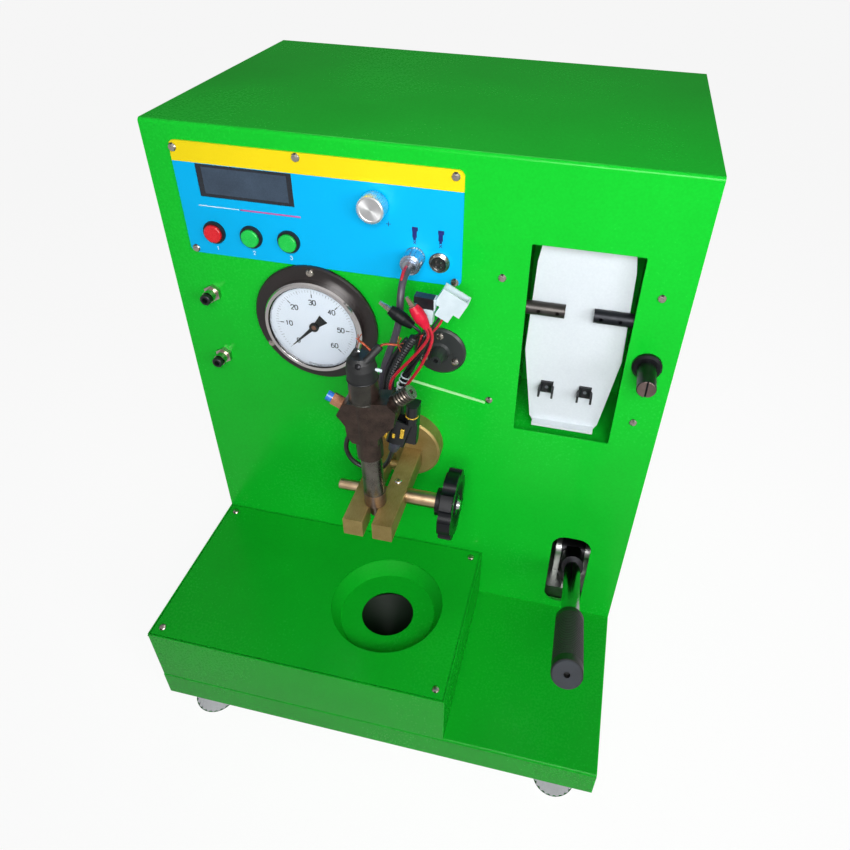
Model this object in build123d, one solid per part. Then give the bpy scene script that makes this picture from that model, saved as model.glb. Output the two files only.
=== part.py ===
from build123d import *
import math
import os

# Bench tester for diesel injectors: a folded-sheet cabinet with a tray, hand pump, gauge,
# injector clamp, driver panel and measuring-tube board. All lengths are in millimetres.
# X runs to the right, Y to the back and Z up. The origin is on the bench, at the middle of
# the footprint that the cabinet and the resting lever take up.

# Clearances shared by many pieces
OVERRUN = 2.0            # how far a cutting tool runs past what it cuts
GAP = 0.3                # air between pieces of different moving bodies
RUNNING = 0.05           # radial clearance of a shaft in its bore
SEAT = 0.1               # radial clearance of a fixed piece in its hole

# Cabinet
CABINET_WIDTH = 520.0
CABINET_DEPTH = 330.0    # front panel to the rear edge of the sides
CABINET_RISE = 588.0     # tray top to cabinet top
TRAY_DEPTH = 210.0
TRAY_LIP = 40.0
FOOT_RISE = 35.0
SHEET = 1.5
BEND = 3.5               # outside radius of a folded edge
FLANGE = 14.0            # width of the flanges that carry covers
COVER_SHEET = 1.5

# Pump lever
LEVER_INSET = 58.0        # from the cabinet's right side
LEVER_X = CABINET_WIDTH / 2 - LEVER_INSET
LEVER_TILT = 30.0        # degrees above the horizontal at rest
LEVER_DOWN = 37.0        # degrees from rest to the end of the stroke
LEVER_BACK = 58.0        # pivot behind the front panel
LEVER_CROSSING = 86.5    # height over the tray where the lever's axis meets the panel
LEVER_LENGTH = 338.0     # pivot to the end of the grip
LEVER_ROD_DIAMETER = 20.0
GRIP_DIAMETER = 29.0
GRIP_LENGTH = 116.0
GRIP_CHAMFER = 1.5

# Rear inlet, the hindmost piece
INLET_FLANGE = 2.5

tilt = math.radians(LEVER_TILT)
lever_reach = (LEVER_LENGTH * math.cos(tilt) + (GRIP_DIAMETER / 2 - GRIP_CHAMFER) * math.sin(tilt)
               - LEVER_BACK)
back_proud = CABINET_DEPTH + COVER_SHEET + INLET_FLANGE
PANEL_Y = (lever_reach - back_proud) / 2
TRAY_Z = FOOT_RISE + TRAY_LIP
HALF = CABINET_WIDTH / 2
INNER_HALF = HALF - SHEET

LEFT, RIGHT = (-1, 0, 0), (1, 0, 0)
FRONT, BACK = (0, -1, 0), (0, 1, 0)
UP = (0, 0, 1)
NODES = {}
BOTTOM_ALIGN = (Align.CENTER, Align.CENTER, Align.MIN)


def at(x, y, z):
    """A point given by x, by y behind the front panel and by z over the tray."""
    return Vector(x, PANEL_Y + y, TRAY_Z + z)


def beside(x, y, z):
    """A point of the injector or its harness, whose heights move with the clamp's boss."""
    return at(x, y, z + BOSS_Z - BOSS_RISE)


def block(low, high):
    """A box between two corners, each an (x, y behind the panel, z over the tray)."""
    size = [b - a for a, b in zip(low, high)]
    return Pos(*at(*low)) * Box(*size, align=(Align.MIN, Align.MIN, Align.MIN))


def rod(start, toward, radius, length):
    """A cylinder that starts at a point and runs along a direction."""
    return Plane(origin=start, z_dir=toward) * Cylinder(radius, length, align=BOTTOM_ALIGN)


def drill(start, toward, radius, length):
    """A cutting cylinder that overruns both ends of the given stretch."""
    start = start - Vector(*toward).normalized() * OVERRUN
    return rod(start, toward, radius, length + 2 * OVERRUN)


def ring(start, toward, outer, inner, length):
    """A plain bush: a cylinder with a bore right through it."""
    return rod(start, toward, outer, length) - drill(start, toward, inner, length)


def turned(start, toward, *corners):
    """A turned piece: the (radius, height) corners of its half section, spun round the axis."""
    outline = make_face(Polyline(*[(r, h) for r, h in corners], close=True))
    solid = revolve(Plane.XZ * outline, Axis.Z)
    return Plane(origin=start, z_dir=toward) * solid


def hexagon(start, toward, across_flats, length, bore=0):
    """A hexagon bar, with a bore where one is given."""
    sketch = RegularPolygon(across_flats / math.sqrt(3), 6)
    solid = Plane(origin=start, z_dir=toward) * extrude(sketch, length)
    return solid - drill(start, toward, bore, length) if bore else solid


def fluted(outer, inner, count, turn=0.0):
    """A star-shaped face whose points stand on the outer and the inner radius in turn."""
    step = 2 * math.pi / (2 * count)
    points = [((outer if i % 2 else inner) * math.cos(i * step + turn),
               (outer if i % 2 else inner) * math.sin(i * step + turn)) for i in range(2 * count)]
    return make_face(Polyline(*points, close=True))


def rounded_corner(face, corner, radius):
    """Rounds the corner of a flat face that is nearest to a point."""
    return fillet(face.vertices().sort_by_distance(corner)[0], radius)


def softened(solid, radius, axis=None):
    """Rounds the edges of a solid that run along an axis, or all of them."""
    edges = solid.edges().filter_by(axis) if axis else solid.edges()
    return fillet(edges, radius)


def node(name, *solids):
    """Keeps the solids of one sub-part under its name."""
    pieces = [piece for solid in solids for piece in solid.solids()]
    NODES[name] = pieces


def folded_profile(corners, bends):
    """A flat face in the YZ plane through (y, z) corners; bends maps a corner's number to its
    radius."""
    points = [(PANEL_Y + y, TRAY_Z + z) for y, z in corners]
    face = Plane.YZ * make_face(Polyline(*points, close=True))
    for number, radius in bends.items():
        face = rounded_corner(face, (0, *points[number]), radius)
    return face


# Where the pieces sit on the front panel: x, and height over the tray
PLATE_SHARE = 0.5385      # of the cabinet's width
PLATE_WIDTH, PLATE_HEIGHT = PLATE_SHARE * CABINET_WIDTH, 112.0
PLATE_RIGHT, PLATE_DROP = 47.7, 72.2
PLATE_Z = CABINET_RISE - PLATE_DROP
PLATE_X = PLATE_RIGHT - PLATE_WIDTH / 2
PLATE_LEFT = PLATE_RIGHT - PLATE_WIDTH
GAUGE_SHARE, GAUGE_DROP = 0.2, 193.0
GAUGE_X, GAUGE_Z = -GAUGE_SHARE * CABINET_WIDTH, CABINET_RISE - GAUGE_DROP
FITTING_INSETS, FITTING_OFFSETS = [41.3, 39.0], [18.9, -60.7]
FITTING_PLACES = [(inset - HALF, GAUGE_Z + z) for inset, z in zip(FITTING_INSETS, FITTING_OFFSETS)]
NOZZLE_X, NOZZLE_DROP = 28.2, 205.3
NOZZLE_Z = CABINET_RISE - NOZZLE_DROP
WINDOW_INSET, WINDOW_DROP, WINDOW_WIDTH, WINDOW_HEIGHT = 98.0, 185.3, 102.0, 217.4
WINDOW_X, WINDOW_Z = HALF - WINDOW_INSET, CABINET_RISE - WINDOW_DROP
VALVE_INSET, VALVE_UNDER = 26.4, 2.9
VALVE_X, VALVE_Z = HALF - VALVE_INSET, WINDOW_Z - VALVE_UNDER
SLOT_SIDE, SLOT_Z, SLOT_WIDTH, SLOT_HEIGHT, SLOT_CORNER = 5.5, 74.5, 47.0, 125.0, 17.0
SLOT_X = LEVER_X - SLOT_SIDE
BOSS_X, BOSS_DROP = -8.0, 334.0
BOSS_Z = CABINET_RISE - BOSS_DROP
PANEL_SCREW_OFFSETS = [(-75.5, 71.3), (70.8, 71.3), (-80.0, -74.7), (71.2, -74.3)]
PANEL_SCREW_PLACES = [(WINDOW_X + x, WINDOW_Z + z) for x, z in PANEL_SCREW_OFFSETS]
PLATE_SCREW_SHARES = [(-0.487, 0.44), (-0.054, 0.462), (0.473, 0.449), (0.478, -0.465),
                      (-0.478, -0.46)]

# Holes in the front panel
GAUGE_HOLE = 50.0        # radius
FITTING_HOLE = 6.4
NOZZLE_HOLE = 6.0
VALVE_HOLE = 9.0
STUD_HOLE = 8.2
PLATE_MARGIN = 9.0       # the panel's cut-out stays this far inside the control plate
WINDOW_CORNER = 1.5
SCREW_HOLE = 2.1
SCREW_SHANK = 2.0
SCREW_LENGTH = 8.0
SCREW_HEAD = 4.0         # radius of a pan head
SCREW_RISE = 2.4

# Collecting box on the tray
BOX_LEFT, BOX_RIGHT, BOX_RISE = -HALF, 87.4, 80.5
BOX_COVER = 2.0          # thickness of its cover plate
COVER_GAP = 1.2          # dark seam round the cover plate
DISH_X, DISH_Y = -8.0, -104.0
DISH_RADIUS = 66.0
DISH_FLOOR = 56.0
DISH_DEPTH = 20.0
DISH_HOLE = 31.0
DISH_RIM = 7.0
BOX_SCREW_INSET = 12.5


def screw(start, toward):
    """A pan-head screw: its head stands out of the surface and its shank goes in."""
    head = turned(start, toward, (0, 0), (SCREW_HEAD, 0), (SCREW_HEAD, SCREW_RISE * 0.45),
                  (SCREW_HEAD * 0.8, SCREW_RISE * 0.85), (SCREW_HEAD * 0.4, SCREW_RISE), (0, SCREW_RISE))
    back = Vector(*toward) * -1
    return head + rod(start, back, SCREW_SHANK, SCREW_LENGTH)


def front_and_top_sheet():
    """One sheet folded over the top front edge, with the cut-outs of the front panel."""
    corners = [(0, 0), (0, CABINET_RISE), (CABINET_DEPTH, CABINET_RISE),
               (CABINET_DEPTH, CABINET_RISE - SHEET), (SHEET, CABINET_RISE - SHEET), (SHEET, 0)]
    face = folded_profile(corners, {1: BEND, 4: BEND - SHEET})
    sheet = Pos(-INNER_HALF, 0, 0) * extrude(face, 2 * INNER_HALF, dir=RIGHT)
    cut_width, cut_height = PLATE_WIDTH - 2 * PLATE_MARGIN, PLATE_HEIGHT - 2 * PLATE_MARGIN
    sheet -= panel_cut(PLATE_X, PLATE_Z, cut_width, cut_height, SLOT_CORNER / 2)
    sheet -= panel_cut(WINDOW_X, WINDOW_Z, WINDOW_WIDTH, WINDOW_HEIGHT, WINDOW_CORNER)
    sheet -= panel_cut(SLOT_X, SLOT_Z, SLOT_WIDTH, SLOT_HEIGHT, SLOT_CORNER)
    holes = [(GAUGE_X, GAUGE_Z, GAUGE_HOLE), (NOZZLE_X, NOZZLE_Z, NOZZLE_HOLE),
             (VALVE_X, VALVE_Z, VALVE_HOLE), (BOSS_X, BOSS_Z, STUD_HOLE)]
    holes += [(x, z, FITTING_HOLE) for x, z in FITTING_PLACES]
    holes += [(x, z, SCREW_HOLE) for x, z in PANEL_SCREW_PLACES + plate_screw_places()]
    for x, z, radius in holes:
        sheet -= drill(at(x, 0, z), BACK, radius, SHEET)
    for angle in GAUGE_SCREW_ANGLES:
        sheet -= drill(gauge_screw_place(angle, 0), BACK, SCREW_HOLE, SHEET)
    for angle in NOZZLE_SCREW_ANGLES:
        sheet -= drill(nozzle_screw_place(angle, 0), BACK, SCREW_HOLE, SHEET)
    node("front_and_top_sheet", sheet)


def panel_cut(x, z, width, height, corner):
    """A cutting bar for a round-cornered opening in the front panel."""
    start = at(x, -OVERRUN, z)
    outline = RectangleRounded(width, height, corner)
    return Plane(origin=start, x_dir=LEFT, z_dir=BACK) * extrude(outline, SHEET + 2 * OVERRUN)


def plate_screw_places():
    """The control plate's screws, as (x, z) places."""
    return [(PLATE_X + a * PLATE_WIDTH, PLATE_Z + b * PLATE_HEIGHT) for a, b in PLATE_SCREW_SHARES]


def side_panels():
    """Each side: an L-shaped sheet with inward flanges along the bottom and the rear."""
    corners = [(-TRAY_DEPTH, -TRAY_LIP), (-TRAY_DEPTH, 0), (0, 0), (0, CABINET_RISE),
               (CABINET_DEPTH, CABINET_RISE), (CABINET_DEPTH, -TRAY_LIP)]
    face = folded_profile(corners, {1: BEND, 3: BEND})
    for name, side in (("left_side_panel", -1), ("right_side_panel", 1)):
        outer, inner = side * HALF, side * INNER_HALF
        sheet = Pos(min(outer, inner), 0, 0) * extrude(face, SHEET, dir=RIGHT)
        edge = sorted((inner, inner - side * FLANGE))
        rear = block((edge[0], CABINET_DEPTH - SHEET, -TRAY_LIP),
                     (edge[1], CABINET_DEPTH, CABINET_RISE - SHEET))
        bottom = block((edge[0], -TRAY_DEPTH + SHEET, -TRAY_LIP),
                       (edge[1], CABINET_DEPTH - SHEET, SHEET - TRAY_LIP))
        for x, z in rear_screw_places():
            rear -= drill(at(x, CABINET_DEPTH - SHEET, z), BACK, SCREW_HOLE, SHEET)
        node(name, sheet + rear + bottom)


def tray_pan():
    """The tray: a sheet that runs under the front panel and folds down into the front lip."""
    corners = [(-TRAY_DEPTH, -TRAY_LIP), (-TRAY_DEPTH, 0), (FLANGE, 0), (FLANGE, -SHEET),
               (SHEET - TRAY_DEPTH, -SHEET), (SHEET - TRAY_DEPTH, -TRAY_LIP)]
    face = folded_profile(corners, {1: BEND, 4: BEND - SHEET})
    pan = Pos(-INNER_HALF, 0, 0) * extrude(face, 2 * INNER_HALF, dir=RIGHT)
    pan -= drill(at(DISH_X, DISH_Y, -SHEET), UP, DRAIN_RADIUS + SEAT, SHEET)
    node("tray_pan", pan)


BASE_SHEET = 2.0


def base_plate():
    """The floor of the cabinet, on the side panels' bottom flanges."""
    low = SHEET - TRAY_LIP
    plate = block((-INNER_HALF, SHEET - TRAY_DEPTH, low),
                  (INNER_HALF, CABINET_DEPTH - SHEET, low + BASE_SHEET))
    for x, y in foot_places():
        plate -= drill(at(x, y, low), UP, FOOT_STUD + SEAT, BASE_SHEET)
    node("base_plate", plate)


REAR_SCREW_X_SHARE = 0.487
REAR_SCREW_Z_SHARES = [0.03, 0.5, 0.97]
VENT_WIDTH, VENT_HEIGHT, VENT_PITCH, VENT_ROWS = 70.0, 4.0, 12.0, 7
VENT_X_SHARES = [-0.25, 0.25]
VENT_DROP = 158.0
INLET_INSET, INLET_Z, INLET_WIDTH, INLET_HEIGHT = 90.0, 70.0, 48.0, 60.0
INLET_X = HALF - INLET_INSET


def rear_screw_places():
    """The rear cover's screws, three down each side."""
    rise = CABINET_RISE + TRAY_LIP
    return [(side * REAR_SCREW_X_SHARE * CABINET_WIDTH, share * rise - TRAY_LIP)
            for side in (-1, 1) for share in REAR_SCREW_Z_SHARES]


def rear_cover():
    """The flat rear cover with two columns of vents and the mains inlet's cut-out."""
    cover = block((-HALF, CABINET_DEPTH, -TRAY_LIP),
                  (HALF, CABINET_DEPTH + COVER_SHEET, CABINET_RISE))
    for share in VENT_X_SHARES:
        for row in range(VENT_ROWS):
            middle = at(share * CABINET_WIDTH, CABINET_DEPTH - OVERRUN,
                        CABINET_RISE - VENT_DROP - row * VENT_PITCH)
            outline = SlotOverall(VENT_WIDTH, VENT_HEIGHT)
            cover -= (Plane(origin=middle, x_dir=LEFT, z_dir=BACK)
                      * extrude(outline, COVER_SHEET + 2 * OVERRUN))
    low_z = INLET_Z - INLET_HEIGHT / 2
    cover -= block((INLET_X - INLET_WIDTH / 2, CABINET_DEPTH - OVERRUN, low_z),
                   (INLET_X + INLET_WIDTH / 2, CABINET_DEPTH + COVER_SHEET + OVERRUN, low_z + INLET_HEIGHT))
    for x, z in rear_screw_places():
        cover -= drill(at(x, CABINET_DEPTH, z), BACK, SCREW_HOLE, COVER_SHEET)
    node("rear_cover", cover)


# Levelling feet
FOOT_INSET, FOOT_FRONT_INSET, FOOT_REAR_INSET = 42.0, 26.0, 30.0
FOOT_X = HALF - FOOT_INSET
FOOT_FRONT, FOOT_REAR = FOOT_FRONT_INSET - TRAY_DEPTH, CABINET_DEPTH - FOOT_REAR_INSET
FOOT_RADIUS, FOOT_NECK, FOOT_CONE, FOOT_FLUTES = 25.0, 12.0, 24.0, 22
FLUTE_DEPTH = 1.6
FOOT_STUD = 5.0
FOOT_NUT, FOOT_NUT_RISE = 17.0, 7.0
FOOT_LAND = 1.0          # plain ring under the flutes


def foot_places():
    """The four feet, as (x, y) places."""
    return [(side * FOOT_X, y) for side in (-1, 1) for y in (FOOT_FRONT, FOOT_REAR)]


def levelling_feet():
    """Fluted cones on threaded studs, each with its lock nut under the base plate."""
    solids = []
    for x, y in foot_places():
        floor = Vector(x, PANEL_Y + y, 0)
        low = fluted(FOOT_RADIUS, FOOT_RADIUS - FLUTE_DEPTH, FOOT_FLUTES)
        high = fluted(FOOT_NECK, FOOT_NECK - FLUTE_DEPTH / 2, FOOT_FLUTES)
        cone = loft([Pos(0, 0, FOOT_LAND) * low, Pos(0, 0, FOOT_CONE) * high], ruled=True)
        foot = Pos(*floor) * cone + rod(floor, UP, FOOT_RADIUS, FOOT_LAND)
        stud_start = floor + Vector(0, 0, FOOT_CONE / 2)
        stud_length = FOOT_RISE - FOOT_CONE / 2 + SHEET + BASE_SHEET + FOOT_NUT_RISE
        foot += rod(stud_start, UP, FOOT_STUD, stud_length)
        under = floor + Vector(0, 0, FOOT_RISE + SHEET - FOOT_NUT_RISE)
        nut = hexagon(under, UP, FOOT_NUT, FOOT_NUT_RISE, FOOT_STUD)
        solids += [foot, nut]
    node("levelling_feet", *solids)


def collecting_box():
    """The box under the injector: four walls with an inward ledge for the cover plate."""
    outer = block((BOX_LEFT, -TRAY_DEPTH, 0), (BOX_RIGHT, 0, BOX_RISE))
    inner = block((BOX_LEFT + SHEET, SHEET - TRAY_DEPTH, -OVERRUN),
                  (BOX_RIGHT - SHEET, -SHEET, BOX_RISE + OVERRUN))
    ledge_top = BOX_RISE - BOX_COVER
    ledge = block((BOX_LEFT, -TRAY_DEPTH, ledge_top - SHEET), (BOX_RIGHT, 0, ledge_top))
    reach = SHEET + FLANGE
    ledge -= block((BOX_LEFT + reach, reach - TRAY_DEPTH, -OVERRUN),
                   (BOX_RIGHT - reach, -reach, BOX_RISE))
    walls = softened(outer, SHEET, Axis.Z) - inner
    box = walls + (ledge & outer)
    for x, y in box_screw_places():
        box -= drill(at(x, y, ledge_top - SHEET), UP, SCREW_HOLE, SHEET)
    node("collecting_box", box)


def box_screw_places():
    """The cover plate's four screws."""
    return [(x, y) for x in (BOX_LEFT + BOX_SCREW_INSET, BOX_RIGHT - BOX_SCREW_INSET)
            for y in (-BOX_SCREW_INSET, BOX_SCREW_INSET - TRAY_DEPTH)]


def box_cover():
    """The cover plate, flush in the box, with the round opening of the dish."""
    inset = SHEET + COVER_GAP
    plate = block((BOX_LEFT + inset, inset - TRAY_DEPTH, BOX_RISE - BOX_COVER),
                  (BOX_RIGHT - inset, -inset, BOX_RISE))
    plate -= drill(at(DISH_X, DISH_Y, BOX_RISE - BOX_COVER), UP, DISH_RADIUS, BOX_COVER)
    for x, y in box_screw_places():
        plate -= drill(at(x, y, BOX_RISE - BOX_COVER), UP, SCREW_HOLE, BOX_COVER)
    node("box_cover", plate)


def drip_dish():
    """The spun dish under the nozzle: a rim below the cover, a sloping wall and a holed floor."""
    top = BOX_RISE - BOX_COVER
    low = BOX_RISE - DISH_DEPTH
    dish = turned(at(DISH_X, DISH_Y, 0), UP,
                  (DISH_HOLE, low - SHEET), (DISH_FLOOR + SHEET, low - SHEET),
                  (DISH_RADIUS + SHEET, top - SHEET), (DISH_RADIUS + DISH_RIM, top - SHEET),
                  (DISH_RADIUS + DISH_RIM, top), (DISH_RADIUS, top), (DISH_FLOOR, low), (DISH_HOLE, low))
    node("drip_dish", dish)


DRAIN_RADIUS = 9.0
DRAIN_WALL = 1.2
FUNNEL_RADIUS = 44.0
FUNNEL_RISE = 40.0
DRAIN_LENGTH = 16.0
FUNNEL_COLLAR = 12.0
FUNNEL_FOOT = 3.0


def drain_funnel():
    """The funnel inside the box, which leads what falls through the dish to the tank."""
    w = DRAIN_WALL
    funnel = turned(at(DISH_X, DISH_Y, 0), UP,
                    (DRAIN_RADIUS - w, -DRAIN_LENGTH), (DRAIN_RADIUS, -DRAIN_LENGTH),
                    (DRAIN_RADIUS, 0), (DRAIN_RADIUS + FUNNEL_COLLAR, 0),
                    (DRAIN_RADIUS + FUNNEL_COLLAR, FUNNEL_FOOT), (FUNNEL_RADIUS, FUNNEL_RISE),
                    (FUNNEL_RADIUS - w, FUNNEL_RISE), (DRAIN_RADIUS - w, FUNNEL_FOOT + w))
    node("drain_funnel", funnel)


# Control plate and what it carries
PLATE_THICKNESS = 2.0
PLATE_CORNER = 6.0
DISPLAY_INSET, DISPLAY_LIFT, DISPLAY_WIDTH, DISPLAY_HEIGHT = 22.3, 20.2, 96.0, 32.0
DISPLAY_Z = PLATE_Z + DISPLAY_LIFT
DISPLAY_X = PLATE_LEFT + DISPLAY_INSET + DISPLAY_WIDTH / 2
DISPLAY_RECESS = 0.8
DISPLAY_BODY = 9.0
DISPLAY_BOARD_MARGIN = 5.0
DISPLAY_BOARD = 1.6
DISPLAY_POST, DISPLAY_POST_INSET = 2.5, 3.0
BUTTON_INSET, BUTTON_PITCH, BUTTON_UNDER = 30.1, 39.15, 31.5
BUTTON_NAMES = ["red_stop_button", "green_button_left", "green_button_right"]
BUTTON_PLACES = [(name, PLATE_LEFT + BUTTON_INSET + i * BUTTON_PITCH, PLATE_Z - BUTTON_UNDER)
                 for i, name in enumerate(BUTTON_NAMES)]
BEZEL_RADIUS, BEZEL_RISE, BEZEL_BORE, BEZEL_FLOOR = 11.5, 4.0, 9.2, 0.8
BARREL_RADIUS, BARREL_LENGTH = 8.0, 22.0
CAP_RADIUS, CAP_THICKNESS, CAP_PROUD, CAP_EDGE = 9.0, 3.3, 2.6, 0.8
CAP_STEM, CAP_STEM_LENGTH = 3.5, 9.0
BUTTON_TRAVEL = 2.2
NUT_THICKNESS = 3.5
CONTACT_SIDE, CONTACT_DEPTH = 19.0, 14.0
KNOB_INSET, KNOB_LIFT = 81.7, 17.8
KNOB_X, KNOB_Z = PLATE_RIGHT - KNOB_INSET, PLATE_Z + KNOB_LIFT
KNOB_RADIUS, KNOB_RISE, KNOB_FLUTES, KNOB_FLUTE_DEPTH = 13.0, 18.0, 36, 0.7
KNOB_CHAMFER = 1.0
KNOB_DISH, KNOB_DISH_DEPTH = 10.0, 0.6
POT_SHAFT, POT_BUSH, POT_RADIUS, POT_DEPTH = 3.0, 4.7, 8.5, 9.0
POT_NUT, POT_NUT_RISE = 12.0, 2.4
POT_BUSH_RISE = 6.0
KNOB_BORE_DEPTH = 12.0
SOCKET_INSETS, SOCKET_UNDERS = [44.9, 21.1], [30.3, 33.1]
SOCKET_PLACES = [(PLATE_RIGHT - inset, PLATE_Z - z) for inset, z in zip(SOCKET_INSETS, SOCKET_UNDERS)]
SOCKET_RADIUS, SOCKET_BORE, SOCKET_RISE, SOCKET_BARREL = 10.0, 7.4, 5.5, 7.9
SOCKET_LENGTH = 14.0
SOCKET_FLANGE = 2.0
PIN_RADIUS, PIN_CIRCLE, PIN_COUNT = 0.9, 3.4, 4
INSERT_RECESS = 3.0


def control_plate():
    """The painted plate with its display window and the holes for buttons, knob and sockets."""
    start = at(PLATE_X, 0, PLATE_Z)
    outline = RectangleRounded(PLATE_WIDTH, PLATE_HEIGHT, PLATE_CORNER)
    plate = Plane(origin=start, x_dir=RIGHT, z_dir=FRONT) * extrude(outline, PLATE_THICKNESS)
    plate -= block((DISPLAY_X - DISPLAY_WIDTH / 2, -PLATE_THICKNESS - OVERRUN,
                    DISPLAY_Z - DISPLAY_HEIGHT / 2),
                   (DISPLAY_X + DISPLAY_WIDTH / 2, OVERRUN, DISPLAY_Z + DISPLAY_HEIGHT / 2))
    holes = [(x, z, BARREL_RADIUS + SEAT) for _, x, z in BUTTON_PLACES]
    holes += [(KNOB_X, KNOB_Z, POT_BUSH + SEAT)]
    holes += [(x, z, SOCKET_BARREL + SEAT) for x, z in SOCKET_PLACES]
    holes += [(x, z, SCREW_HOLE) for x, z in plate_screw_places()]
    for x, z, radius in holes:
        plate -= drill(at(x, -PLATE_THICKNESS, z), BACK, radius, PLATE_THICKNESS)
    node("control_plate", plate)


def display_module():
    """A character display in the plate's window, on its board with four posts."""
    half_width, half_height = DISPLAY_WIDTH / 2 - SEAT, DISPLAY_HEIGHT / 2 - SEAT
    front = DISPLAY_RECESS - PLATE_THICKNESS
    body = block((DISPLAY_X - half_width, front, DISPLAY_Z - half_height),
                 (DISPLAY_X + half_width, DISPLAY_BODY, DISPLAY_Z + half_height))
    margin = DISPLAY_BOARD_MARGIN
    board = block((DISPLAY_X - half_width - margin, DISPLAY_BODY, DISPLAY_Z - half_height - margin),
                  (DISPLAY_X + half_width + margin, DISPLAY_BODY + DISPLAY_BOARD,
                   DISPLAY_Z + half_height + margin))
    for side in (-1, 1):
        for rise in (-1, 1):
            x = DISPLAY_X + side * (half_width + margin - DISPLAY_POST_INSET)
            z = DISPLAY_Z + rise * (half_height + margin - DISPLAY_POST_INSET)
            board += rod(at(x, 0, z), BACK, DISPLAY_POST, DISPLAY_BODY)
    node("display_module", body + board)


def button_housings():
    """Threaded button bodies with nuts and contact blocks, and the knob's potentiometer."""
    solids = []
    for _, x, z in BUTTON_PLACES:
        face = at(x, -PLATE_THICKNESS, z)
        bezel = turned(face, FRONT, (0, 0), (BEZEL_RADIUS, 0), (BEZEL_RADIUS, BEZEL_RISE * 0.6),
                       (BEZEL_RADIUS - BEZEL_FLOOR, BEZEL_RISE), (BEZEL_BORE, BEZEL_RISE),
                       (BEZEL_BORE, BEZEL_FLOOR), (0, BEZEL_FLOOR))
        housing = bezel + rod(face, BACK, BARREL_RADIUS, BARREL_LENGTH)
        back = at(x, BARREL_LENGTH - PLATE_THICKNESS, z)
        housing += Pos(*back) * Box(CONTACT_SIDE, CONTACT_DEPTH, CONTACT_SIDE,
                                    align=(Align.CENTER, Align.MIN, Align.CENTER))
        housing -= rod(at(x, -PLATE_THICKNESS - BEZEL_RISE, z), BACK, CAP_STEM + RUNNING,
                       BEZEL_RISE + CAP_STEM_LENGTH + BUTTON_TRAVEL + CONTACT_DEPTH / 2)
        nut = hexagon(at(x, 0, z), BACK, BEZEL_RADIUS * 2, NUT_THICKNESS, BARREL_RADIUS)
        solids += [housing, nut]
    bush = rod(at(KNOB_X, -PLATE_THICKNESS - POT_BUSH_RISE, KNOB_Z), BACK, POT_BUSH,
               PLATE_THICKNESS + POT_BUSH_RISE)
    pot = bush + rod(at(KNOB_X, 0, KNOB_Z), BACK, POT_RADIUS, POT_DEPTH)
    pot -= rod(at(KNOB_X, -PLATE_THICKNESS - POT_BUSH_RISE - OVERRUN, KNOB_Z), BACK, POT_SHAFT + RUNNING,
               PLATE_THICKNESS + POT_BUSH_RISE + OVERRUN + POT_DEPTH / 2)
    nut = hexagon(at(KNOB_X, -PLATE_THICKNESS, KNOB_Z), FRONT, POT_NUT, POT_NUT_RISE, POT_BUSH)
    node("button_housings", *solids, pot, nut)


def button_caps():
    """The three round caps, each on a stem that slides in its housing."""
    for name, x, z in BUTTON_PLACES:
        rest = at(x, -PLATE_THICKNESS - BEZEL_RISE - CAP_PROUD, z)
        cap = turned(rest, BACK, (0, 0), (CAP_RADIUS - CAP_EDGE, 0), (CAP_RADIUS, CAP_EDGE),
                     (CAP_RADIUS, CAP_THICKNESS), (CAP_STEM, CAP_THICKNESS),
                     (CAP_STEM, CAP_THICKNESS + CAP_STEM_LENGTH), (0, CAP_THICKNESS + CAP_STEM_LENGTH))
        node(name, cap)


def pulse_knob():
    """The turned aluminium knob, fluted round its side, on the potentiometer's shaft."""
    back = at(KNOB_X, -PLATE_THICKNESS - POT_NUT_RISE - GAP, KNOB_Z)
    rise = KNOB_RISE - POT_NUT_RISE - GAP
    star = fluted(KNOB_RADIUS, KNOB_RADIUS - KNOB_FLUTE_DEPTH, KNOB_FLUTES)
    knob = Plane(origin=back, z_dir=FRONT) * extrude(star, rise - KNOB_CHAMFER)
    knob += turned(back, FRONT, (0, 0), (KNOB_RADIUS - KNOB_FLUTE_DEPTH, 0),
                   (KNOB_RADIUS - KNOB_FLUTE_DEPTH, rise - KNOB_CHAMFER),
                   (KNOB_RADIUS - KNOB_FLUTE_DEPTH - KNOB_CHAMFER, rise), (KNOB_DISH, rise),
                   (KNOB_DISH, rise - KNOB_DISH_DEPTH), (0, rise - KNOB_DISH_DEPTH))
    knob -= rod(back + Vector(0, OVERRUN, 0), FRONT, POT_BUSH + GAP, OVERRUN + POT_BUSH_RISE)
    shaft_start = at(KNOB_X, POT_DEPTH / 2 - GAP, KNOB_Z)
    shaft_length = POT_DEPTH / 2 - GAP + PLATE_THICKNESS + KNOB_BORE_DEPTH
    node("pulse_knob", knob + rod(shaft_start, FRONT, POT_SHAFT, shaft_length))


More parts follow.
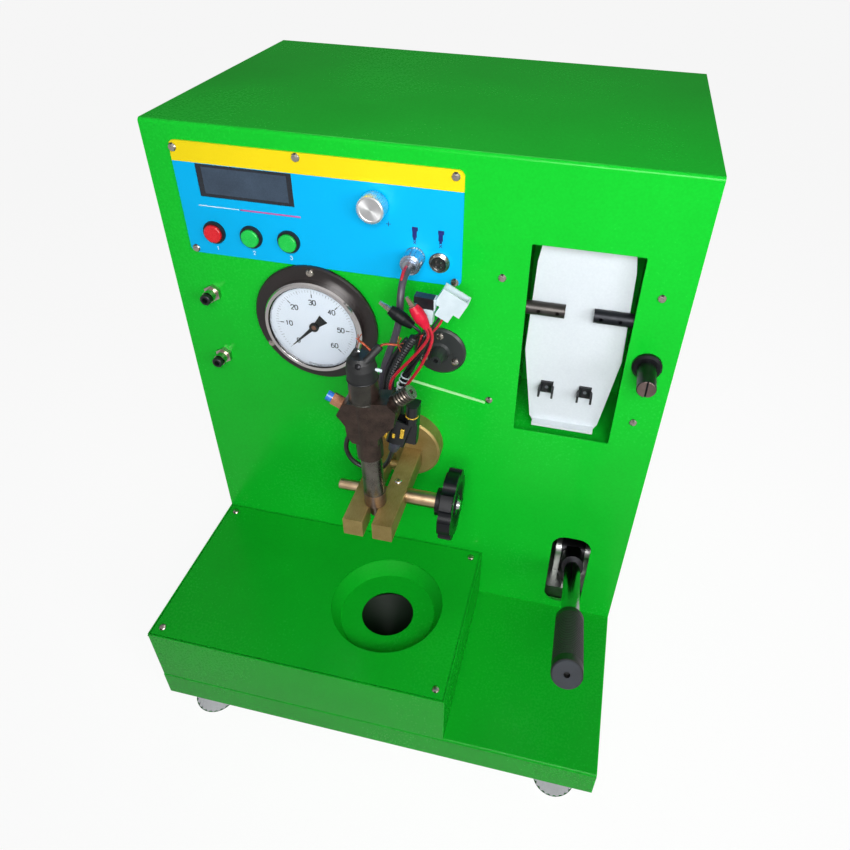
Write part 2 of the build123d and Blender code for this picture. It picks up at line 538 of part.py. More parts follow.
def socket_shells():
    """Two threaded round sockets with insulators and contact pins."""
    solids = []
    for x, z in SOCKET_PLACES:
        rim = at(x, -PLATE_THICKNESS, z)
        shell = turned(rim, FRONT, (0, 0), (SOCKET_RADIUS, 0), (SOCKET_RADIUS, SOCKET_FLANGE),
                       (SOCKET_BARREL, SOCKET_FLANGE), (SOCKET_BARREL, SOCKET_RISE),
                       (SOCKET_BORE, SOCKET_RISE), (SOCKET_BORE, SOCKET_RISE - INSERT_RECESS),
                       (0, SOCKET_RISE - INSERT_RECESS))
        shell += rod(rim, BACK, SOCKET_BARREL, SOCKET_LENGTH)
        for i in range(PIN_COUNT):
            angle = 2 * math.pi * (i + 0.5) / PIN_COUNT
            pin = rim + Vector(PIN_CIRCLE * math.cos(angle), INSERT_RECESS - SOCKET_RISE,
                               PIN_CIRCLE * math.sin(angle))
            shell += rod(pin, FRONT, PIN_RADIUS, INSERT_RECESS - GAP)
        nut = hexagon(at(x, 0, z), BACK, SOCKET_RADIUS * 2, NUT_THICKNESS, SOCKET_BARREL)
        solids += [shell, nut]
    node("socket_shells", *solids)


# Gauge
GAUGE_FLANGE, GAUGE_FLANGE_THICKNESS = 66.6, 6.8     # the thickness with its gasket
GAUGE_GASKET, GAUGE_GASKET_THICKNESS = 64.0, 2.3     # lets the rim lap over the control plate's edge
GAUGE_CASE, GAUGE_CASE_DEPTH = 48.0, 42.0
GAUGE_NECK = 50.0        # radius of the case in front of the flange
GAUGE_FRONT = 16.0       # bezel front before the panel
GAUGE_BEZEL, GAUGE_SIGHT = 53.0, 47.0
GAUGE_DIAL_FRONT, GAUGE_DIAL_THICKNESS = 9.5, 1.0
GAUGE_GLASS_FRONT, GAUGE_GLASS_THICKNESS = 14.5, 2.0
GAUGE_SCREW_CIRCLE = 60.6
GAUGE_SCREW_ANGLES = [90, 210, 330]
GAUGE_LIP = 1.4
SPINDLE_RADIUS = 1.5
HUB_RADIUS, HUB_RISE = 5.0, 2.6
POINTER_THICKNESS = 0.9
POINTER_LENGTH, POINTER_TAIL = 37.0, 15.0
POINTER_ROOT, POINTER_TIP, POINTER_FAN = 2.2, 0.4, 5.5
POINTER_ZERO = 225.0     # degrees, counter-clockwise from the right as seen from the front
GAUGE_STUD, GAUGE_STUD_LENGTH, GAUGE_HEX = 7.0, 14.0, 22.0


def gauge_screw_place(angle, y):
    """The place of one flange screw of the gauge."""
    turn = math.radians(angle)
    return at(GAUGE_X + GAUGE_SCREW_CIRCLE * math.cos(turn), y, GAUGE_Z + GAUGE_SCREW_CIRCLE * math.sin(turn))


def gauge_case():
    """Flange on its gasket, round case behind the panel, neck that carries the dial, rear stud."""
    back = at(GAUGE_X, GAUGE_CASE_DEPTH, GAUGE_Z)
    depth = GAUGE_CASE_DEPTH
    neck_front = depth + GAUGE_DIAL_FRONT - GAUGE_DIAL_THICKNESS
    gasket = depth + GAUGE_GASKET_THICKNESS
    case = turned(back, FRONT, (0, 0), (GAUGE_CASE, 0), (GAUGE_CASE, depth), (GAUGE_GASKET, depth),
                  (GAUGE_GASKET, gasket), (GAUGE_FLANGE, gasket),
                  (GAUGE_FLANGE, depth + GAUGE_FLANGE_THICKNESS * 0.75),
                  (GAUGE_FLANGE - GAUGE_LIP, depth + GAUGE_FLANGE_THICKNESS),
                  (GAUGE_NECK, depth + GAUGE_FLANGE_THICKNESS), (GAUGE_NECK, neck_front), (0, neck_front))
    case -= rod(at(GAUGE_X, -neck_front + depth - OVERRUN, GAUGE_Z), BACK, SPINDLE_RADIUS + RUNNING,
                GAUGE_DIAL_FRONT + OVERRUN)
    for angle in GAUGE_SCREW_ANGLES:
        case -= drill(gauge_screw_place(angle, -GAUGE_FLANGE_THICKNESS), BACK, SCREW_HOLE,
                      GAUGE_FLANGE_THICKNESS)
    case += hexagon(back, BACK, GAUGE_HEX, GAUGE_STUD)
    case += rod(back, BACK, GAUGE_STUD, GAUGE_STUD_LENGTH)
    node("gauge_case", case)


def gauge_bezel():
    """The chromed ring that holds the glass over the dial."""
    base = at(GAUGE_X, -GAUGE_FLANGE_THICKNESS, GAUGE_Z)
    front = GAUGE_FRONT - GAUGE_FLANGE_THICKNESS
    glass_back = GAUGE_GLASS_FRONT - GAUGE_GLASS_THICKNESS - GAUGE_FLANGE_THICKNESS
    glass_front = GAUGE_GLASS_FRONT - GAUGE_FLANGE_THICKNESS
    bezel = turned(base, FRONT, (GAUGE_NECK + SEAT, 0), (GAUGE_BEZEL, 0), (GAUGE_BEZEL, front * 0.8),
                   (GAUGE_BEZEL - GAUGE_LIP, front), (GAUGE_SIGHT + GAUGE_LIP, front),
                   (GAUGE_SIGHT, glass_front), (GAUGE_NECK + SEAT, glass_front))
    node("gauge_bezel", bezel)
    dial_back = GAUGE_DIAL_FRONT - GAUGE_DIAL_THICKNESS
    dial = ring(at(GAUGE_X, -dial_back, GAUGE_Z), FRONT, GAUGE_NECK, SPINDLE_RADIUS + RUNNING,
                GAUGE_DIAL_THICKNESS)
    node("gauge_dial", dial)
    spacer = glass_back + GAUGE_FLANGE_THICKNESS - GAUGE_DIAL_FRONT
    glass = rod(at(GAUGE_X, spacer - glass_back - GAUGE_FLANGE_THICKNESS, GAUGE_Z), FRONT, GAUGE_NECK,
                spacer + GAUGE_GLASS_THICKNESS)
    glass -= rod(at(GAUGE_X, OVERRUN - GAUGE_DIAL_FRONT, GAUGE_Z), FRONT, GAUGE_SIGHT, OVERRUN + spacer)
    node("gauge_glass", glass)


def gauge_pointer():
    """The black pointer with its hub and fan-shaped tail, on a thin spindle."""
    outline = [(0, POINTER_ROOT), (POINTER_LENGTH, POINTER_TIP), (POINTER_LENGTH, -POINTER_TIP),
               (0, -POINTER_ROOT), (-POINTER_TAIL, -POINTER_FAN), (-POINTER_TAIL, POINTER_FAN)]
    face = Rot(0, 0, POINTER_ZERO) * make_face(Polyline(*outline, close=True))
    back = GAUGE_DIAL_FRONT + GAP
    middle = at(GAUGE_X, -back, GAUGE_Z)
    blade = Plane(origin=middle, x_dir=RIGHT, z_dir=FRONT) * extrude(face, POINTER_THICKNESS)
    hub = rod(middle, FRONT, HUB_RADIUS, HUB_RISE)
    spindle = rod(middle, BACK, SPINDLE_RADIUS, back + GAP - GAUGE_DIAL_THICKNESS)
    node("gauge_pointer", blade + hub + spindle)


# Push-in bulkhead fittings
FITTING_HEX, FITTING_HEX_RISE = 16.0, 5.0
FITTING_BARREL, FITTING_BARREL_RISE = 6.3, 14.0
COLLAR_RADIUS, COLLAR_BODY, COLLAR_RISE, COLLAR_BORE = 5.8, 4.4, 5.0, 3.1
COLLAR_TRAVEL = 1.2
COLLAR_DEPTH = 8.0
FITTING_TAIL = 18.0


def bulkhead_fittings():
    """Two nickel bulkhead connectors with hexagon, barrel and rear nut."""
    solids = []
    for x, z in FITTING_PLACES:
        body = hexagon(at(x, 0, z), FRONT, FITTING_HEX, FITTING_HEX_RISE)
        body += rod(at(x, 0, z), FRONT, FITTING_BARREL, FITTING_BARREL_RISE)
        body += rod(at(x, 0, z), BACK, FITTING_BARREL, FITTING_TAIL)
        body -= drill(at(x, -FITTING_BARREL_RISE, z), BACK, COLLAR_BORE, FITTING_BARREL_RISE + FITTING_TAIL)
        body -= rod(at(x, -FITTING_BARREL_RISE - OVERRUN, z), BACK, COLLAR_BODY + RUNNING,
                    OVERRUN + COLLAR_DEPTH + COLLAR_TRAVEL)
        nut = hexagon(at(x, SHEET, z), BACK, FITTING_HEX, NUT_THICKNESS, FITTING_BARREL)
        solids += [body, nut]
    node("bulkhead_fittings", *solids)


def release_collars():
    """The black collars that are pressed in to free a tube."""
    for name, (x, z) in zip(("upper_release_collar", "lower_release_collar"), FITTING_PLACES):
        front = at(x, -FITTING_BARREL_RISE - COLLAR_RISE - COLLAR_TRAVEL, z)
        edge = COLLAR_RADIUS - COLLAR_BODY
        collar = turned(front, BACK, (COLLAR_BORE, 0), (COLLAR_RADIUS - edge / 2, 0),
                        (COLLAR_RADIUS, edge / 2), (COLLAR_RADIUS, COLLAR_RISE), (COLLAR_BODY, COLLAR_RISE),
                        (COLLAR_BODY, COLLAR_RISE + COLLAR_TRAVEL + COLLAR_DEPTH - GAP),
                        (COLLAR_BORE, COLLAR_RISE + COLLAR_TRAVEL + COLLAR_DEPTH - GAP))
        node(name, collar)


# Outlet nozzle
NOZZLE_FLANGE, NOZZLE_FLANGE_THICKNESS = 27.2, 4.0
NOZZLE_ROOT, NOZZLE_TIP, NOZZLE_RISE, NOZZLE_BORE = 9.0, 5.6, 21.0, 2.5
NOZZLE_SCREW_CIRCLE = 19.0
NOZZLE_SCREW_ANGLES = [90, 210, 330]
NOZZLE_TAIL = 16.0


def nozzle_screw_place(angle, y):
    """The place of one screw of the outlet nozzle's flange."""
    turn = math.radians(angle)
    return at(NOZZLE_X + NOZZLE_SCREW_CIRCLE * math.cos(turn), y,
              NOZZLE_Z + NOZZLE_SCREW_CIRCLE * math.sin(turn))


def outlet_nozzle():
    """A black moulded flange with a tapered spout."""
    flange = NOZZLE_FLANGE_THICKNESS
    nozzle = turned(at(NOZZLE_X, 0, NOZZLE_Z), FRONT, (0, 0), (NOZZLE_FLANGE, 0),
                    (NOZZLE_FLANGE, flange * 0.5), (NOZZLE_FLANGE - flange * 0.5, flange),
                    (NOZZLE_ROOT + flange * 0.5, flange),
                    (NOZZLE_ROOT, flange * 1.6), (NOZZLE_TIP, NOZZLE_RISE), (0, NOZZLE_RISE))
    nozzle += rod(at(NOZZLE_X, 0, NOZZLE_Z), BACK, NOZZLE_HOLE - SEAT, NOZZLE_TAIL)
    nozzle -= drill(at(NOZZLE_X, -NOZZLE_RISE, NOZZLE_Z), BACK, NOZZLE_BORE, NOZZLE_RISE + NOZZLE_TAIL)
    for angle in NOZZLE_SCREW_ANGLES:
        nozzle -= drill(nozzle_screw_place(angle, -flange), BACK, SCREW_HOLE, flange)
    node("outlet_nozzle", nozzle)


# Relief valve
VALVE_NUT_RADIUS, VALVE_NUT_RISE = 14.5, 6.0
VALVE_SPINDLE, VALVE_REACH = 9.2, 40.0
VALVE_SLOT, VALVE_SLOT_DEPTH = 1.8, 2.2
VALVE_STEM, VALVE_STEM_LENGTH = 5.0, 22.0
VALVE_BLOCK, VALVE_BLOCK_DEPTH = 22.0, 34.0


def relief_valve():
    """The valve's nut and block stay on the panel; the slotted black spindle turns in them."""
    nut = turned(at(VALVE_X, 0, VALVE_Z), FRONT, (0, 0), (VALVE_NUT_RADIUS, 0),
                 (VALVE_NUT_RADIUS, VALVE_NUT_RISE * 0.6), (VALVE_NUT_RADIUS * 0.85, VALVE_NUT_RISE),
                 (0, VALVE_NUT_RISE))
    body = nut + rod(at(VALVE_X, 0, VALVE_Z), BACK, VALVE_HOLE - SEAT, SHEET * 4)
    body += Pos(*at(VALVE_X, SHEET * 3, VALVE_Z)) * Box(VALVE_BLOCK, VALVE_BLOCK_DEPTH, VALVE_BLOCK,
                                                        align=(Align.CENTER, Align.MIN, Align.CENTER))
    body -= rod(at(VALVE_X, -VALVE_NUT_RISE - OVERRUN, VALVE_Z), BACK, VALVE_STEM + RUNNING,
                OVERRUN + VALVE_NUT_RISE + VALVE_STEM_LENGTH + GAP)
    node("relief_valve_body", body)
    start = at(VALVE_X, -VALVE_NUT_RISE - GAP, VALVE_Z)
    reach = VALVE_REACH - VALVE_NUT_RISE - GAP
    spindle = rod(start, FRONT, VALVE_SPINDLE, reach)
    spindle = chamfer(spindle.edges().group_by(Axis.Y)[0], VALVE_SLOT / 2)
    spindle += rod(start, BACK, VALVE_STEM, VALVE_STEM_LENGTH)
    spindle -= block((VALVE_X - VALVE_SLOT / 2, -VALVE_REACH - OVERRUN, VALVE_Z - VALVE_SPINDLE),
                     (VALVE_X + VALVE_SLOT / 2, VALVE_SLOT_DEPTH - VALVE_REACH, VALVE_Z + VALVE_SPINDLE))
    node("relief_valve_spindle", spindle)


# Measuring-tube window
RECESS_MARGIN = 6.0      # the recess is this much wider than the window on each side
RECESS_ABOVE, RECESS_BELOW, RECESS_DEPTH = 18.0, 8.0, 104.0
RECESS_EAR = 20.0
EAR_UNDER, EAR_OVER = 86.7, 83.3      # the ears' reach below and above the window's middle
SHAFT_Y, SHAFT_LIFT, SHAFT_RADIUS = 10.5, 38.3, 6.8
SHAFT_Z = WINDOW_Z + SHAFT_LIFT
SHAFT_GAP = 27.5         # between the two inner shaft ends
SHAFT_FLAT = 1.0
SHAFT_SCREW = 2.0
SHAFT_SCREW_SHARES = [0.2, 0.72]
BUSH_RADIUS, BUSH_FLANGE, BUSH_LENGTH = 9.0, 12.0, 9.0
BOARD_THICKNESS = 3.0
BOARD_PLAN = [(41.0, 74.0), (45.5, 46.0), (48.6, -53.0), (36.6, -137.0), (33.0, -143.5)]
LIP_REACH = 9.0
CLIP_XS, CLIP_DROP = [-22.0, 18.0], 95.0
CLIP_BASE, CLIP_BASE_HEIGHT, CLIP_BASE_THICKNESS = 13.0, 13.0, 3.0
CLIP_OUTER, CLIP_WALL, CLIP_HEIGHT, CLIP_REACH = 8.0, 2.2, 8.0, 16.0


def window_recess():
    """An open-fronted sheet box behind the window, with ears on the panel and two shaft bushes."""
    x0 = WINDOW_X - WINDOW_WIDTH / 2 - RECESS_MARGIN
    x1 = WINDOW_X + WINDOW_WIDTH / 2 + RECESS_MARGIN
    z0 = WINDOW_Z - WINDOW_HEIGHT / 2 - RECESS_BELOW
    z1 = WINDOW_Z + WINDOW_HEIGHT / 2 + RECESS_ABOVE
    box = block((x0 - SHEET, SHEET, z0 - SHEET), (x1 + SHEET, RECESS_DEPTH + SHEET, z1 + SHEET))
    box -= block((x0, -OVERRUN, z0), (x1, RECESS_DEPTH, z1))
    for low, high in ((x0 - RECESS_EAR - SHEET, x0 - SHEET), (x1 + SHEET, x1 + SHEET + RECESS_EAR)):
        box += block((low, SHEET, WINDOW_Z - EAR_UNDER), (high, 2 * SHEET, WINDOW_Z + EAR_OVER))
    for x, z in PANEL_SCREW_PLACES:
        box -= drill(at(x, SHEET, z), BACK, SCREW_HOLE, SHEET)
    box -= drill(at(VALVE_X, SHEET, VALVE_Z), BACK, VALVE_HOLE, SHEET)
    for wall, side in ((x0, -1), (x1, 1)):
        outward = (side, 0, 0)
        middle = at(wall + side * SHEET / 2, SHAFT_Y, SHAFT_Z)
        bush = rod(middle, outward, BUSH_RADIUS, BUSH_LENGTH - SHEET / 2)
        bush += rod(middle, outward, BUSH_FLANGE, SHEET * 1.5)
        bush &= block((x0 - BUSH_LENGTH, 2 * SHEET, z0), (x1 + BUSH_LENGTH, RECESS_DEPTH, z1))
        box += bush
        box -= rod(middle - Vector(*outward) * SHEET, outward, SHAFT_RADIUS + RUNNING, BUSH_LENGTH)
    node("window_recess", box)


def board_front():
    """How far the board's front face stands behind the panel: on the shafts' flats."""
    return SHAFT_Y + SHAFT_RADIUS - SHAFT_FLAT


def tube_board():
    """The white flip board: a tapering octagon with a folded lip at its lower end."""
    outline = [(WINDOW_X + w, SHAFT_Z + z) for w, z in BOARD_PLAN]
    outline += [(WINDOW_X - w, SHAFT_Z + z) for w, z in reversed(BOARD_PLAN)]
    front = board_front()
    start = at(0, front, 0)
    face = make_face(Polyline(*outline, close=True))
    board = Plane(origin=start, x_dir=RIGHT, z_dir=FRONT) * extrude(face, -BOARD_THICKNESS)
    low_width, low_z = BOARD_PLAN[-1]
    lip = block((WINDOW_X - low_width, front - LIP_REACH, SHAFT_Z + low_z),
                (WINDOW_X + low_width, front, SHAFT_Z + low_z + BOARD_THICKNESS))
    board += lip
    for x in CLIP_XS:
        board -= drill(at(WINDOW_X + x, front, SHAFT_Z - CLIP_DROP), BACK, SHAFT_SCREW, BOARD_THICKNESS)
    node("tube_board", board)


def board_shafts():
    """Two black stub shafts, flat behind, that carry the board, with their screws."""
    solids = []
    wall = WINDOW_WIDTH / 2 + RECESS_MARGIN + BUSH_LENGTH - OVERRUN
    widest = max(w for w, _ in BOARD_PLAN)
    for side in (-1, 1):
        start = at(WINDOW_X + side * SHAFT_GAP / 2, SHAFT_Y, SHAFT_Z)
        length = wall - SHAFT_GAP / 2 - OVERRUN
        shaft = rod(start, (side, 0, 0), SHAFT_RADIUS, length)
        inner = WINDOW_X + side * SHAFT_GAP / 2
        outer = WINDOW_X + side * (widest + GAP)
        low, high = sorted((inner - side * OVERRUN, outer))
        flat = block((low, board_front(), SHAFT_Z - SHAFT_RADIUS), (high, SHAFT_Y + SHAFT_RADIUS + OVERRUN,
                                                                   SHAFT_Z + SHAFT_RADIUS))
        shaft -= flat
        for share in SHAFT_SCREW_SHARES:
            x = inner + side * (widest - SHAFT_GAP / 2) * share
            shaft -= rod(at(x, SHAFT_Y - SHAFT_RADIUS - OVERRUN, SHAFT_Z), BACK, SHAFT_SCREW,
                         OVERRUN + SHAFT_RADIUS)
        solids.append(shaft)
    node("board_shafts", *solids)


def tube_clips():
    """Two sprung clips that hold the lower ends of the measuring tubes."""
    solids = []
    front = board_front()
    for x in CLIP_XS:
        cx, cz = WINDOW_X + x, SHAFT_Z - CLIP_DROP
        base = block((cx - CLIP_BASE / 2, front - CLIP_BASE_THICKNESS, cz - CLIP_BASE_HEIGHT / 2),
                     (cx + CLIP_BASE / 2, front, cz + CLIP_BASE_HEIGHT / 2))
        low_z = cz - CLIP_HEIGHT / 2
        centre = at(cx, front - CLIP_REACH + CLIP_OUTER, low_z)
        outer = rod(centre, UP, CLIP_OUTER, CLIP_HEIGHT)
        outer += block((cx - CLIP_OUTER, front - CLIP_REACH, low_z),
                       (cx + CLIP_OUTER, front - CLIP_REACH + CLIP_OUTER, low_z + CLIP_HEIGHT))
        outer += block((cx - CLIP_BASE / 2, front - CLIP_OUTER, low_z),
                       (cx + CLIP_BASE / 2, front, low_z + CLIP_HEIGHT))
        inner = drill(centre, UP, CLIP_OUTER - CLIP_WALL, CLIP_HEIGHT)
        slot = block((cx - CLIP_OUTER + CLIP_WALL, front - CLIP_REACH - OVERRUN, low_z - OVERRUN),
                     (cx + CLIP_OUTER - CLIP_WALL, front - CLIP_REACH + CLIP_OUTER,
                      low_z + CLIP_HEIGHT + OVERRUN))
        clip = (outer + base) - inner - slot
        clip += rod(at(cx, front, cz), BACK, SHAFT_SCREW - SEAT, BOARD_THICKNESS)
        solids.append(clip)
    node("tube_clips", *solids)


# Injector clamp
BOSS_RADIUS, BOSS_THICKNESS, BOSS_CHAMFER = 41.0, 18.0, 2.0
STUD_RADIUS, STUD_LENGTH, STUD_NUT, STUD_NUT_RISE = 8.0, 22.0, 24.0, 12.0
JAW_OVER, JAW_HEIGHT, JAW_FRONT, JAW_WIDTH = 2.0, 22.0, -137.0, 20.8
JAW_TOP = BOSS_Z + JAW_OVER
JAW_MIDDLE, JAW_GAP = -13.1, 9.8
JAW_EDGE = 0.8
NOTCH_HALF = 10.8        # half of the notches' diagonal
INJECTOR_X, INJECTOR_Y = -13.1, -106.0
BOSS_RISE = 254.0        # the boss's height in the injector's and the harness's own heights
SCREW_Y = -80.0
SCREW_RADIUS, SCREW_SLEEVE, SCREW_LEFT, SLEEVE_LENGTH = 5.9, 8.4, 24.0, 33.0
GUIDE_Y, GUIDE_RADIUS, GUIDE_LENGTH = -36.0, 4.5, 17.0
WHEEL_RADIUS, WHEEL_RIM, WHEEL_LOBES, WHEEL_NOTCH = 38.0, 14.0, 8, 8.0
WHEEL_NOTCH_CIRCLE = 41.5
WHEEL_HUB, WHEEL_HUB_LENGTH, WHEEL_DISH, WHEEL_DISH_DEPTH = 15.0, 22.0, 26.0, 5.0
WHEEL_SCREW, WHEEL_SCREW_RISE = 6.0, 3.0
RETAINER_X_SHARE, RETAINER_Y = 0.45, -72.5


def clamp_boss():
    """The round boss on the panel, with its stud and nut behind."""
    start = at(BOSS_X, 0, BOSS_Z)
    boss = turned(start, FRONT, (0, 0), (BOSS_RADIUS, 0), (BOSS_RADIUS, BOSS_THICKNESS - BOSS_CHAMFER),
                  (BOSS_RADIUS - BOSS_CHAMFER, BOSS_THICKNESS), (0, BOSS_THICKNESS))
    boss += rod(start, BACK, STUD_RADIUS, STUD_LENGTH)
    nut = hexagon(at(BOSS_X, SHEET, BOSS_Z), BACK, STUD_NUT, STUD_NUT_RISE, STUD_RADIUS)
    node("clamp_boss", boss, nut)


def jaw(inner, side, rear):
    """One square jaw bar with its V notch; side is -1 on the left and 1 on the right."""
    low, high = sorted((inner, inner + side * JAW_WIDTH))
    bar = block((low, JAW_FRONT, JAW_TOP - JAW_HEIGHT), (high, rear, JAW_TOP))
    bar = softened(bar, JAW_EDGE, Axis.Y)
    side_length = NOTCH_HALF * math.sqrt(2)
    notch = Rot(0, 0, 45) * Box(side_length, side_length, JAW_HEIGHT + 2 * OVERRUN)
    return bar - Pos(*at(INJECTOR_X, INJECTOR_Y, JAW_TOP - JAW_HEIGHT / 2)) * notch


def clamp_jaws():
    """The fixed left jaw with its guide pin, and the right jaw that slides on the pin."""
    middle_z = JAW_TOP - JAW_HEIGHT / 2
    left_inner, right_inner = JAW_MIDDLE - JAW_GAP / 2, JAW_MIDDLE + JAW_GAP / 2
    fixed = jaw(left_inner, -1, -BOSS_THICKNESS)
    fixed -= drill(at(left_inner, SCREW_Y, middle_z), LEFT, SCREW_RADIUS + RUNNING, JAW_WIDTH)
    guide = rod(at(left_inner - JAW_WIDTH / 2, GUIDE_Y, middle_z), RIGHT, GUIDE_RADIUS,
                JAW_WIDTH / 2 + JAW_GAP + GUIDE_LENGTH)
    node("fixed_jaw", fixed + guide)
    moving = jaw(right_inner, 1, -BOSS_THICKNESS - GAP)
    moving -= drill(at(right_inner, SCREW_Y, middle_z), RIGHT, SCREW_RADIUS + RUNNING, JAW_WIDTH)
    moving -= rod(at(right_inner - OVERRUN, GUIDE_Y, middle_z), RIGHT, GUIDE_RADIUS + RUNNING,
                  OVERRUN + GUIDE_LENGTH + GAP)
    retainer = at(right_inner + RETAINER_X_SHARE * JAW_WIDTH, RETAINER_Y, JAW_TOP)
    moving += turned(retainer, UP, (0, 0), (SCREW_HEAD, 0), (SCREW_HEAD, SCREW_RISE * 0.5),
                     (SCREW_HEAD * 0.6, SCREW_RISE), (0, SCREW_RISE))
    node("moving_jaw", moving)


def clamp_screw():
    """The bronze spindle with its sleeve, and the black star wheel at its end."""
    middle_z = JAW_TOP - JAW_HEIGHT / 2
    left_end = JAW_MIDDLE - JAW_GAP / 2 - JAW_WIDTH - SCREW_LEFT
    sleeve_start = JAW_MIDDLE + JAW_GAP / 2 + JAW_WIDTH + GAP
    sleeve_end = sleeve_start + SLEEVE_LENGTH
    start = at(left_end, SCREW_Y, middle_z)
    total = sleeve_end - left_end + WHEEL_HUB_LENGTH
    spindle = rod(start, RIGHT, SCREW_RADIUS, total)
    spindle = chamfer(spindle.edges().group_by(Axis.X)[0], SCREW_RADIUS / 5)
    spindle += rod(at(sleeve_start, SCREW_Y, middle_z), RIGHT, SCREW_SLEEVE, SLEEVE_LENGTH)
    node("clamp_screw", spindle)
    hub_start = at(sleeve_end, SCREW_Y, middle_z)
    rim_start = WHEEL_HUB_LENGTH - WHEEL_RIM
    wheel = turned(hub_start, RIGHT, (SCREW_RADIUS, 0), (WHEEL_HUB, 0), (WHEEL_HUB, rim_start * 0.6),
                   (WHEEL_DISH, rim_start), (WHEEL_RADIUS - JAW_EDGE, rim_start),
                   (WHEEL_RADIUS, rim_start + JAW_EDGE),
                   (WHEEL_RADIUS, WHEEL_HUB_LENGTH - JAW_EDGE), (WHEEL_RADIUS - JAW_EDGE, WHEEL_HUB_LENGTH),
                   (WHEEL_DISH, WHEEL_HUB_LENGTH), (WHEEL_HUB, WHEEL_HUB_LENGTH - WHEEL_DISH_DEPTH),
                   (WHEEL_HUB * 0.7, WHEEL_HUB_LENGTH), (SCREW_RADIUS, WHEEL_HUB_LENGTH))
    for i in range(WHEEL_LOBES):
        turn = 2 * math.pi * (i + 0.5) / WHEEL_LOBES
        spot = hub_start + Vector(0, WHEEL_NOTCH_CIRCLE * math.cos(turn), WHEEL_NOTCH_CIRCLE * math.sin(turn))
        wheel -= drill(spot, RIGHT, WHEEL_NOTCH, WHEEL_HUB_LENGTH)
    end = at(sleeve_end + WHEEL_HUB_LENGTH, SCREW_Y, middle_z)
    cap = turned(end, RIGHT, (0, 0), (WHEEL_SCREW, 0), (WHEEL_SCREW * 0.8, WHEEL_SCREW_RISE),
                 (0, WHEEL_SCREW_RISE))
    node("handwheel", wheel + cap)


# The clamped injector, as heights over the tray
INJECTOR_LEAN, LEAN_Z = 1.9, 248.0   # degrees to the left, about the middle of the jaws' notches
NOZZLE_TIP_Z, NOZZLE_CONE_Z, RING_Z, CAP_NUT_Z, BODY_Z = 236.5, 241.0, 256.7, 272.6, 320.0
SHOULDER_Z, HEAD_Z, HEAD_TOP_Z, CROWN_EDGE_Z, CROWN_Z = 343.5, 390.5, 427.0, 434.0, 438.5
NEEDLE_RADIUS, NOZZLE_RADIUS, RING_RADIUS, CAP_NUT_RADIUS = 2.2, 6.8, 11.3, 10.7
BODY_RADIUS, HEAD_RADIUS, CROWN_EDGE, CROWN_RADIUS = 13.0, 14.0, 12.4, 9.0
BODY_FOOT = 2.4
SHOULDER_HALF, SHOULDER_DEPTH = 33.5, 24.0
SHOULDER_LEFT_SHARES = [(-0.38, 0), (-0.52, 0.17), (-0.535, 0.43)]     # of the half width and height
SHOULDER_TOP_SHARES = [(-0.42, 1.0), (0.36, 1.08)]
SHOULDER_RIGHT_SHARES = [(0.885, 0.565), (0.66, 0.405), (0.41, 0.19), (0.38, 0)]
INLET_TURN, INLET_SEAT_SHARES, INLET_SEAT = 42.0, (0.857, 1.01), 6.2
INLET_RADIUS, INLET_LENGTH = 7.0, 22.0
RETURN_TURN, RETURN_SEAT_SHARES, RETURN_SEAT = 152.0, (-0.669, 0.804), 6.6
RETURN_HEX, RETURN_LENGTH, RETURN_COLLAR, RETURN_COLLAR_LENGTH = 11.0, 10.5, 4.8, 6.0
TERMINAL_RADII = [3.2, 3.5]
TERMINAL_SHARES = [((-0.60, 0.0, -0.35), (-0.18, 0.07, 0.32)),      # of the head's radius, from the
                   ((0.36, -0.43, -0.30), (1.30, 0.29, 0.68))]      # axis and the crown's top


def leaned(*solids):
    """Solids of the upright injector, leaned to the left about the middle of the jaws' notches."""
    pivot = Pos(*beside(INJECTOR_X, INJECTOR_Y, LEAN_Z))
    lean = pivot * Rot(0, -INJECTOR_LEAN, 0) * pivot.inverse()
    return [lean * solid for solid in solids]


def seat(shares, half, turn):
    """The middle and the two ends of a slanted seat on the shoulder, lower end first, as (x, z)
    from the injector's axis, and the direction of what stands on it."""
    way = Vector(math.cos(math.radians(turn)), math.sin(math.radians(turn)))
    middle = Vector(shares[0] * SHOULDER_HALF, SHOULDER_Z + shares[1] * (HEAD_Z - SHOULDER_Z))
    up = Vector(abs(way.Y), abs(way.X)) if way.X < 0 else Vector(-way.Y, way.X)
    return middle, middle - up * half, middle + up * half, Vector(way.X, 0, way.Y)


def shoulder():
    """The forged shoulder as a flat plan from the front: both seats slant square to their fittings."""
    rise = HEAD_Z - SHOULDER_Z
    _, return_low, return_high, _ = seat(RETURN_SEAT_SHARES, RETURN_SEAT, RETURN_TURN)
    _, inlet_low, inlet_high, _ = seat(INLET_SEAT_SHARES, INLET_SEAT, INLET_TURN)
    left, top, right = [[(x * SHOULDER_HALF, SHOULDER_Z + z * rise) for x, z in shares]
                        for shares in (SHOULDER_LEFT_SHARES, SHOULDER_TOP_SHARES, SHOULDER_RIGHT_SHARES)]
    ends = [(v.X, v.Y) for v in (return_low, return_high, inlet_high, inlet_low)]
    outline = left + ends[:2] + top + ends[2:] + right
    start = beside(INJECTOR_X, INJECTOR_Y + SHOULDER_DEPTH / 2, 0)
    return Plane(origin=start, x_dir=RIGHT, z_dir=FRONT) * extrude(
        make_face(Polyline(*outline, close=True)), SHOULDER_DEPTH)


